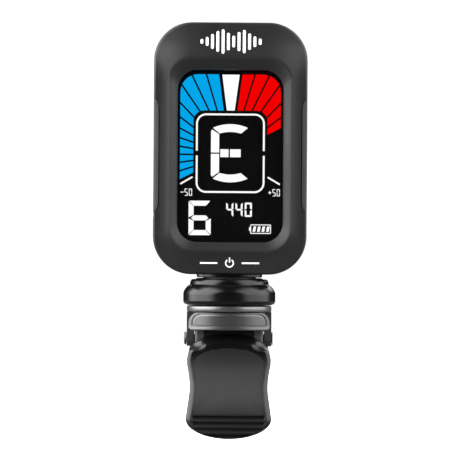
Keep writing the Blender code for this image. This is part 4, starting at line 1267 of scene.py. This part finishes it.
def lower_jaw():
    """The lower jaw and the two ears inside the front lever's."""
    outline = [(JAW_TIP, -5.4), (JAW_LIP + 0.2, -5.4), (JAW_LIP, LOWER_TOP), (5, LOWER_TOP)]
    outline += [(5, LOWER_UNDER), (10, LOWER_UNDER), (24, -8.9), (JAW_TIP, -8.2)]
    jaw = prism(outline, "X", -EAR_OUTER, EAR_OUTER)
    ear = arc((0, 0), 2.6, 0, 230, 28)
    link = prism([(7, -7.6), *ear, (3.6, -9.0), (7, -9.0)], "X", -4.4, 4.4)
    room = prism([(-20, -20), (5, -9.4), (5, 20), (-20, 20)], "X", -3.1, 3.1)
    return carved(carved(jaw, link, operation="UNION"), room, bore())


def squeeze_pad():
    """The rear lever's thumb piece: the same waisted shape, grooved across its end."""
    top = -7.6
    rows = [(z, min(half, 6.1 + 0.62 * (top - z) ** 0.8)) for z, half in thumb_rows() if z < top]
    edge = inset_of(outline_from(rows))

    def front(x, z):
        return curve_through(REAR_FACE, z) - LEVER_THICKNESS

    def back(x, z):
        surface = curve_through(REAR_FACE, z) - 0.55 * (x / 7.5) ** 2
        surface -= quarter(max(edge(x, z), 0), 0.9)
        surface -= 0.5 * ramp(edge(x, z), 1.2, 4.0) * ramp(z, -14.2, -12.0)
        return surface - groove_depth(x, z)

    return relief(rows, front, back, 100)


def jaw_pad(low, high, direction):
    """A rubber pad whose grip face has rounded ribs across it."""
    ribs, depth, edge = 9, 0.22, 0.2
    length = high.y - low.y
    grip, root = (low.z, high.z) if direction < 0 else (high.z, low.z)
    rows = []
    steps = ribs * 12
    for step in range(steps + 1):
        share = step / steps
        y = low.y + length * share
        wave = abs(sin(pi * ribs * share)) ** 0.6
        half = high.x - quarter(min(share, 1 - share) * length, 1.5)
        z = grip - direction * depth * (1 - wave)
        side = z - direction * edge
        row = [(-half, root), (half, root), (half, side)]
        row += [(half - edge, z), (edge - half, z), (-half, side)]
        rows.append([(x, y, height) for x, height in row])
    return loft(rows)


def spring():
    """Three and a half turns round the pin, with a leg behind each thumb piece."""
    radius, turns, per_turn, half = 1.6, 3.5, 36, COIL_HALF
    steps = int(turns * per_turn)
    coil = []
    for step in range(steps + 1):
        angle = 2 * pi * step / per_turn
        x = half - 2 * half * step / steps
        coil.append((x, radius * cos(angle), radius * sin(angle)))
    rear_leg = [(half, 4.3, -8.6), (half, 1.8, -3.0)]
    front_leg = [(-half, -1.8, -3.0), (-half, -4.9, -8.8)]
    return tube([*rear_leg, *coil, *front_leg], 0.35)


def build_clip():
    """Adds the two levers, their rubber pads and the spring between them."""
    shape, panel = thumb_piece()
    thumb = add_piece("thumb_piece", shape, "clip", THUMB, ["front_lever"], sharp=60)
    mark_panel(thumb, panel)
    add_piece("upper_jaw", upper_jaw(), "clip", LEVER, bevel=0.3)
    # The hubs' light colour is painted light.
    add_piece("lever_hubs", hubs(), "clip", HUB_PAINTED_LIGHT, sharp=40)
    add_piece("lower_jaw", lower_jaw(), "rear_lever", LEVER, ["rear_lever"], bevel=0.2)
    add_piece("squeeze_pad", squeeze_pad(), "rear_lever", THUMB, sharp=60)
    pads = (("upper_jaw_pad", -1, "clip"), ("lower_jaw_pad", 1, "rear_lever"))
    for node, direction, body in pads:
        shape = jaw_pad(*extent(node), direction)
        add_piece(node + "_ribbed", shape, body, PAD_RUBBER, [node])
    coil = add_piece("spring", spring(), None, STEEL, ["torsion_spring"], sharp=60)
    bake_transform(coil)


# ---------------- stage


def floor_and_backdrop():
    """A pale floor under the open jaw, which curves up into a wall behind the object."""
    level = packed_bounds[0].z - 6 * MM
    near, far, width, height, bend = -2.2, 2.4, 2.5, 2.2, 0.6
    profile = [(near, level), (far - bend, level)]
    for step in range(1, 17):
        turn = pi / 2 * step / 16
        profile.append((far - bend + bend * sin(turn), level + bend * (1 - cos(turn))))
    profile.append((far, level + height))
    shape = bmesh.new()
    rows = [[shape.verts.new((x, y, z)) for x in (-width, width)] for y, z in profile]
    for row, other in zip(rows, rows[1:]):
        shape.faces.new((row[0], row[1], other[1], other[0]))
    mesh = mesh_of(shape)
    if mesh.polygons[0].normal.z < 0:
        mesh.flip_normals()
    sweep = bpy.data.objects.new("floor", mesh)
    bpy.context.scene.collection.objects.link(sweep)
    mesh.shade_smooth()
    mesh.materials.append(floor_material())


def floor_material():
    """Paper that is white to the camera, dim in reflections and see-through from below."""
    nodes = Nodes("pale_paper")
    fibres = nodes.noise(6.0, 4.0)
    paper = nodes.blend(fibres, (0.86, 0.86, 0.86), (0.89, 0.89, 0.89))
    seen = nodes.add("LightPath").outputs["Is Camera Ray"]
    nodes.set("Base Color", nodes.blend(seen, (0.14, 0.14, 0.14), paper))
    nodes.set("Roughness", 0.9)
    nodes.set("Specular IOR Level", 0.1)
    nodes.set("Emission Color", (1, 1, 1, 1))
    nodes.set("Emission Strength", seen)
    nodes.outside_only(nodes.shader, nodes.add("BsdfTransparent"))
    return nodes.material


def fade_edges(light, fade):
    """Dims a rectangular light towards its edges, over a share of its width and height."""
    light.use_nodes = True
    tree = light.node_tree
    add, link = tree.nodes.new, tree.links.new
    place = add("ShaderNodeSeparateXYZ")
    link(add("ShaderNodeNewGeometry").outputs["Parametric"], place.inputs[0])
    product = add("ShaderNodeMath")
    product.operation = "MULTIPLY"
    for number, axis in enumerate("XY"):
        from_middle = add("ShaderNodeMath")
        from_middle.operation = "PINGPONG"
        from_middle.inputs[1].default_value = 0.5
        link(place.outputs[axis], from_middle.inputs[0])
        edge = add("ShaderNodeMapRange")
        edge.interpolation_type = "SMOOTHSTEP"
        edge.inputs["From Max"].default_value = fade
        link(from_middle.outputs[0], edge.inputs["Value"])
        link(edge.outputs["Result"], product.inputs[number])
    link(product.outputs[0], tree.nodes["Emission"].inputs["Strength"])


def softbox(name, azimuth, elevation, distance, size, radiance):
    """A rectangular light facing the object. Azimuth 0 is the camera's side, 90 the right."""
    target = Vector((0, PIN.y, PIN.z + MIDDLE_HEIGHT * MM))
    turn, rise = radians(azimuth), radians(elevation)
    level = cos(rise)
    out = Vector((sin(turn) * level, -cos(turn) * level, sin(rise)))
    light = bpy.data.lights.new(name, "AREA")
    light.shape = "RECTANGLE"
    light.size, light.size_y = size
    light.energy = radiance * pi * size[0] * size[1]
    fade_edges(light, 0.3)
    lamp = bpy.data.objects.new(name, light)
    lamp.location = target + out * distance
    lamp.rotation_mode = "QUATERNION"
    lamp.rotation_quaternion = out.to_track_quat("Z", "Y")
    bpy.context.scene.collection.objects.link(lamp)


def lights():
    """A large soft light at each side and one behind."""
    softbox("left_box", -80, 25, distance=0.6, size=(1.4, 1.3), radiance=4.6)
    softbox("right_box", 77, 25, distance=0.6, size=(1.4, 1.3), radiance=2.7)
    softbox("back_box", 165, 35, distance=0.9, size=(1.2, 0.9), radiance=2.6)


def surroundings():
    """White where the camera sees it, and dim in reflections."""
    world = bpy.data.worlds.new("studio")
    bpy.context.scene.world = world
    world.use_nodes = True
    tree = world.node_tree
    back = tree.nodes["Background"]
    back.inputs["Color"].default_value = (1, 1, 1, 1)
    path = tree.nodes.new("ShaderNodeLightPath")
    span = tree.nodes.new("ShaderNodeMapRange")
    span.inputs["To Min"].default_value = 0.006
    tree.links.new(path.outputs["Is Camera Ray"], span.inputs["Value"])
    tree.links.new(span.outputs["Result"], back.inputs["Strength"])


def camera():
    """A long lens, level with the middle of the object and turned a little about its axis."""
    distance, seen_width, roll, sideways = 1.2, 86.74 * MM, -0.4, 0.05 * MM
    data = bpy.data.cameras.new("camera")
    data.sensor_width = 36
    data.lens = data.sensor_width * distance / seen_width
    data.clip_start = 0.01
    eye = bpy.data.objects.new("camera", data)
    eye.location = (sideways, PIN.y + HEAD_FRONT * MM - distance, PIN.z + EYE_HEIGHT * MM)
    eye.rotation_euler = (radians(90), radians(roll), 0)
    bpy.context.scene.collection.objects.link(eye)
    bpy.context.scene.camera = eye


# ---------------- the whole


finish_cad_nodes()
case_surface = build_head()
build_display()
marks = printed_on(case_surface, level_bars() + power_sign())
add_piece("front_marks", marks, "head", PRINT_WITH_GLOW)
build_yoke()
build_clip()
floor_and_backdrop()
lights()
surroundings()
camera()
bpy.context.scene.view_settings.view_transform = "Standard"
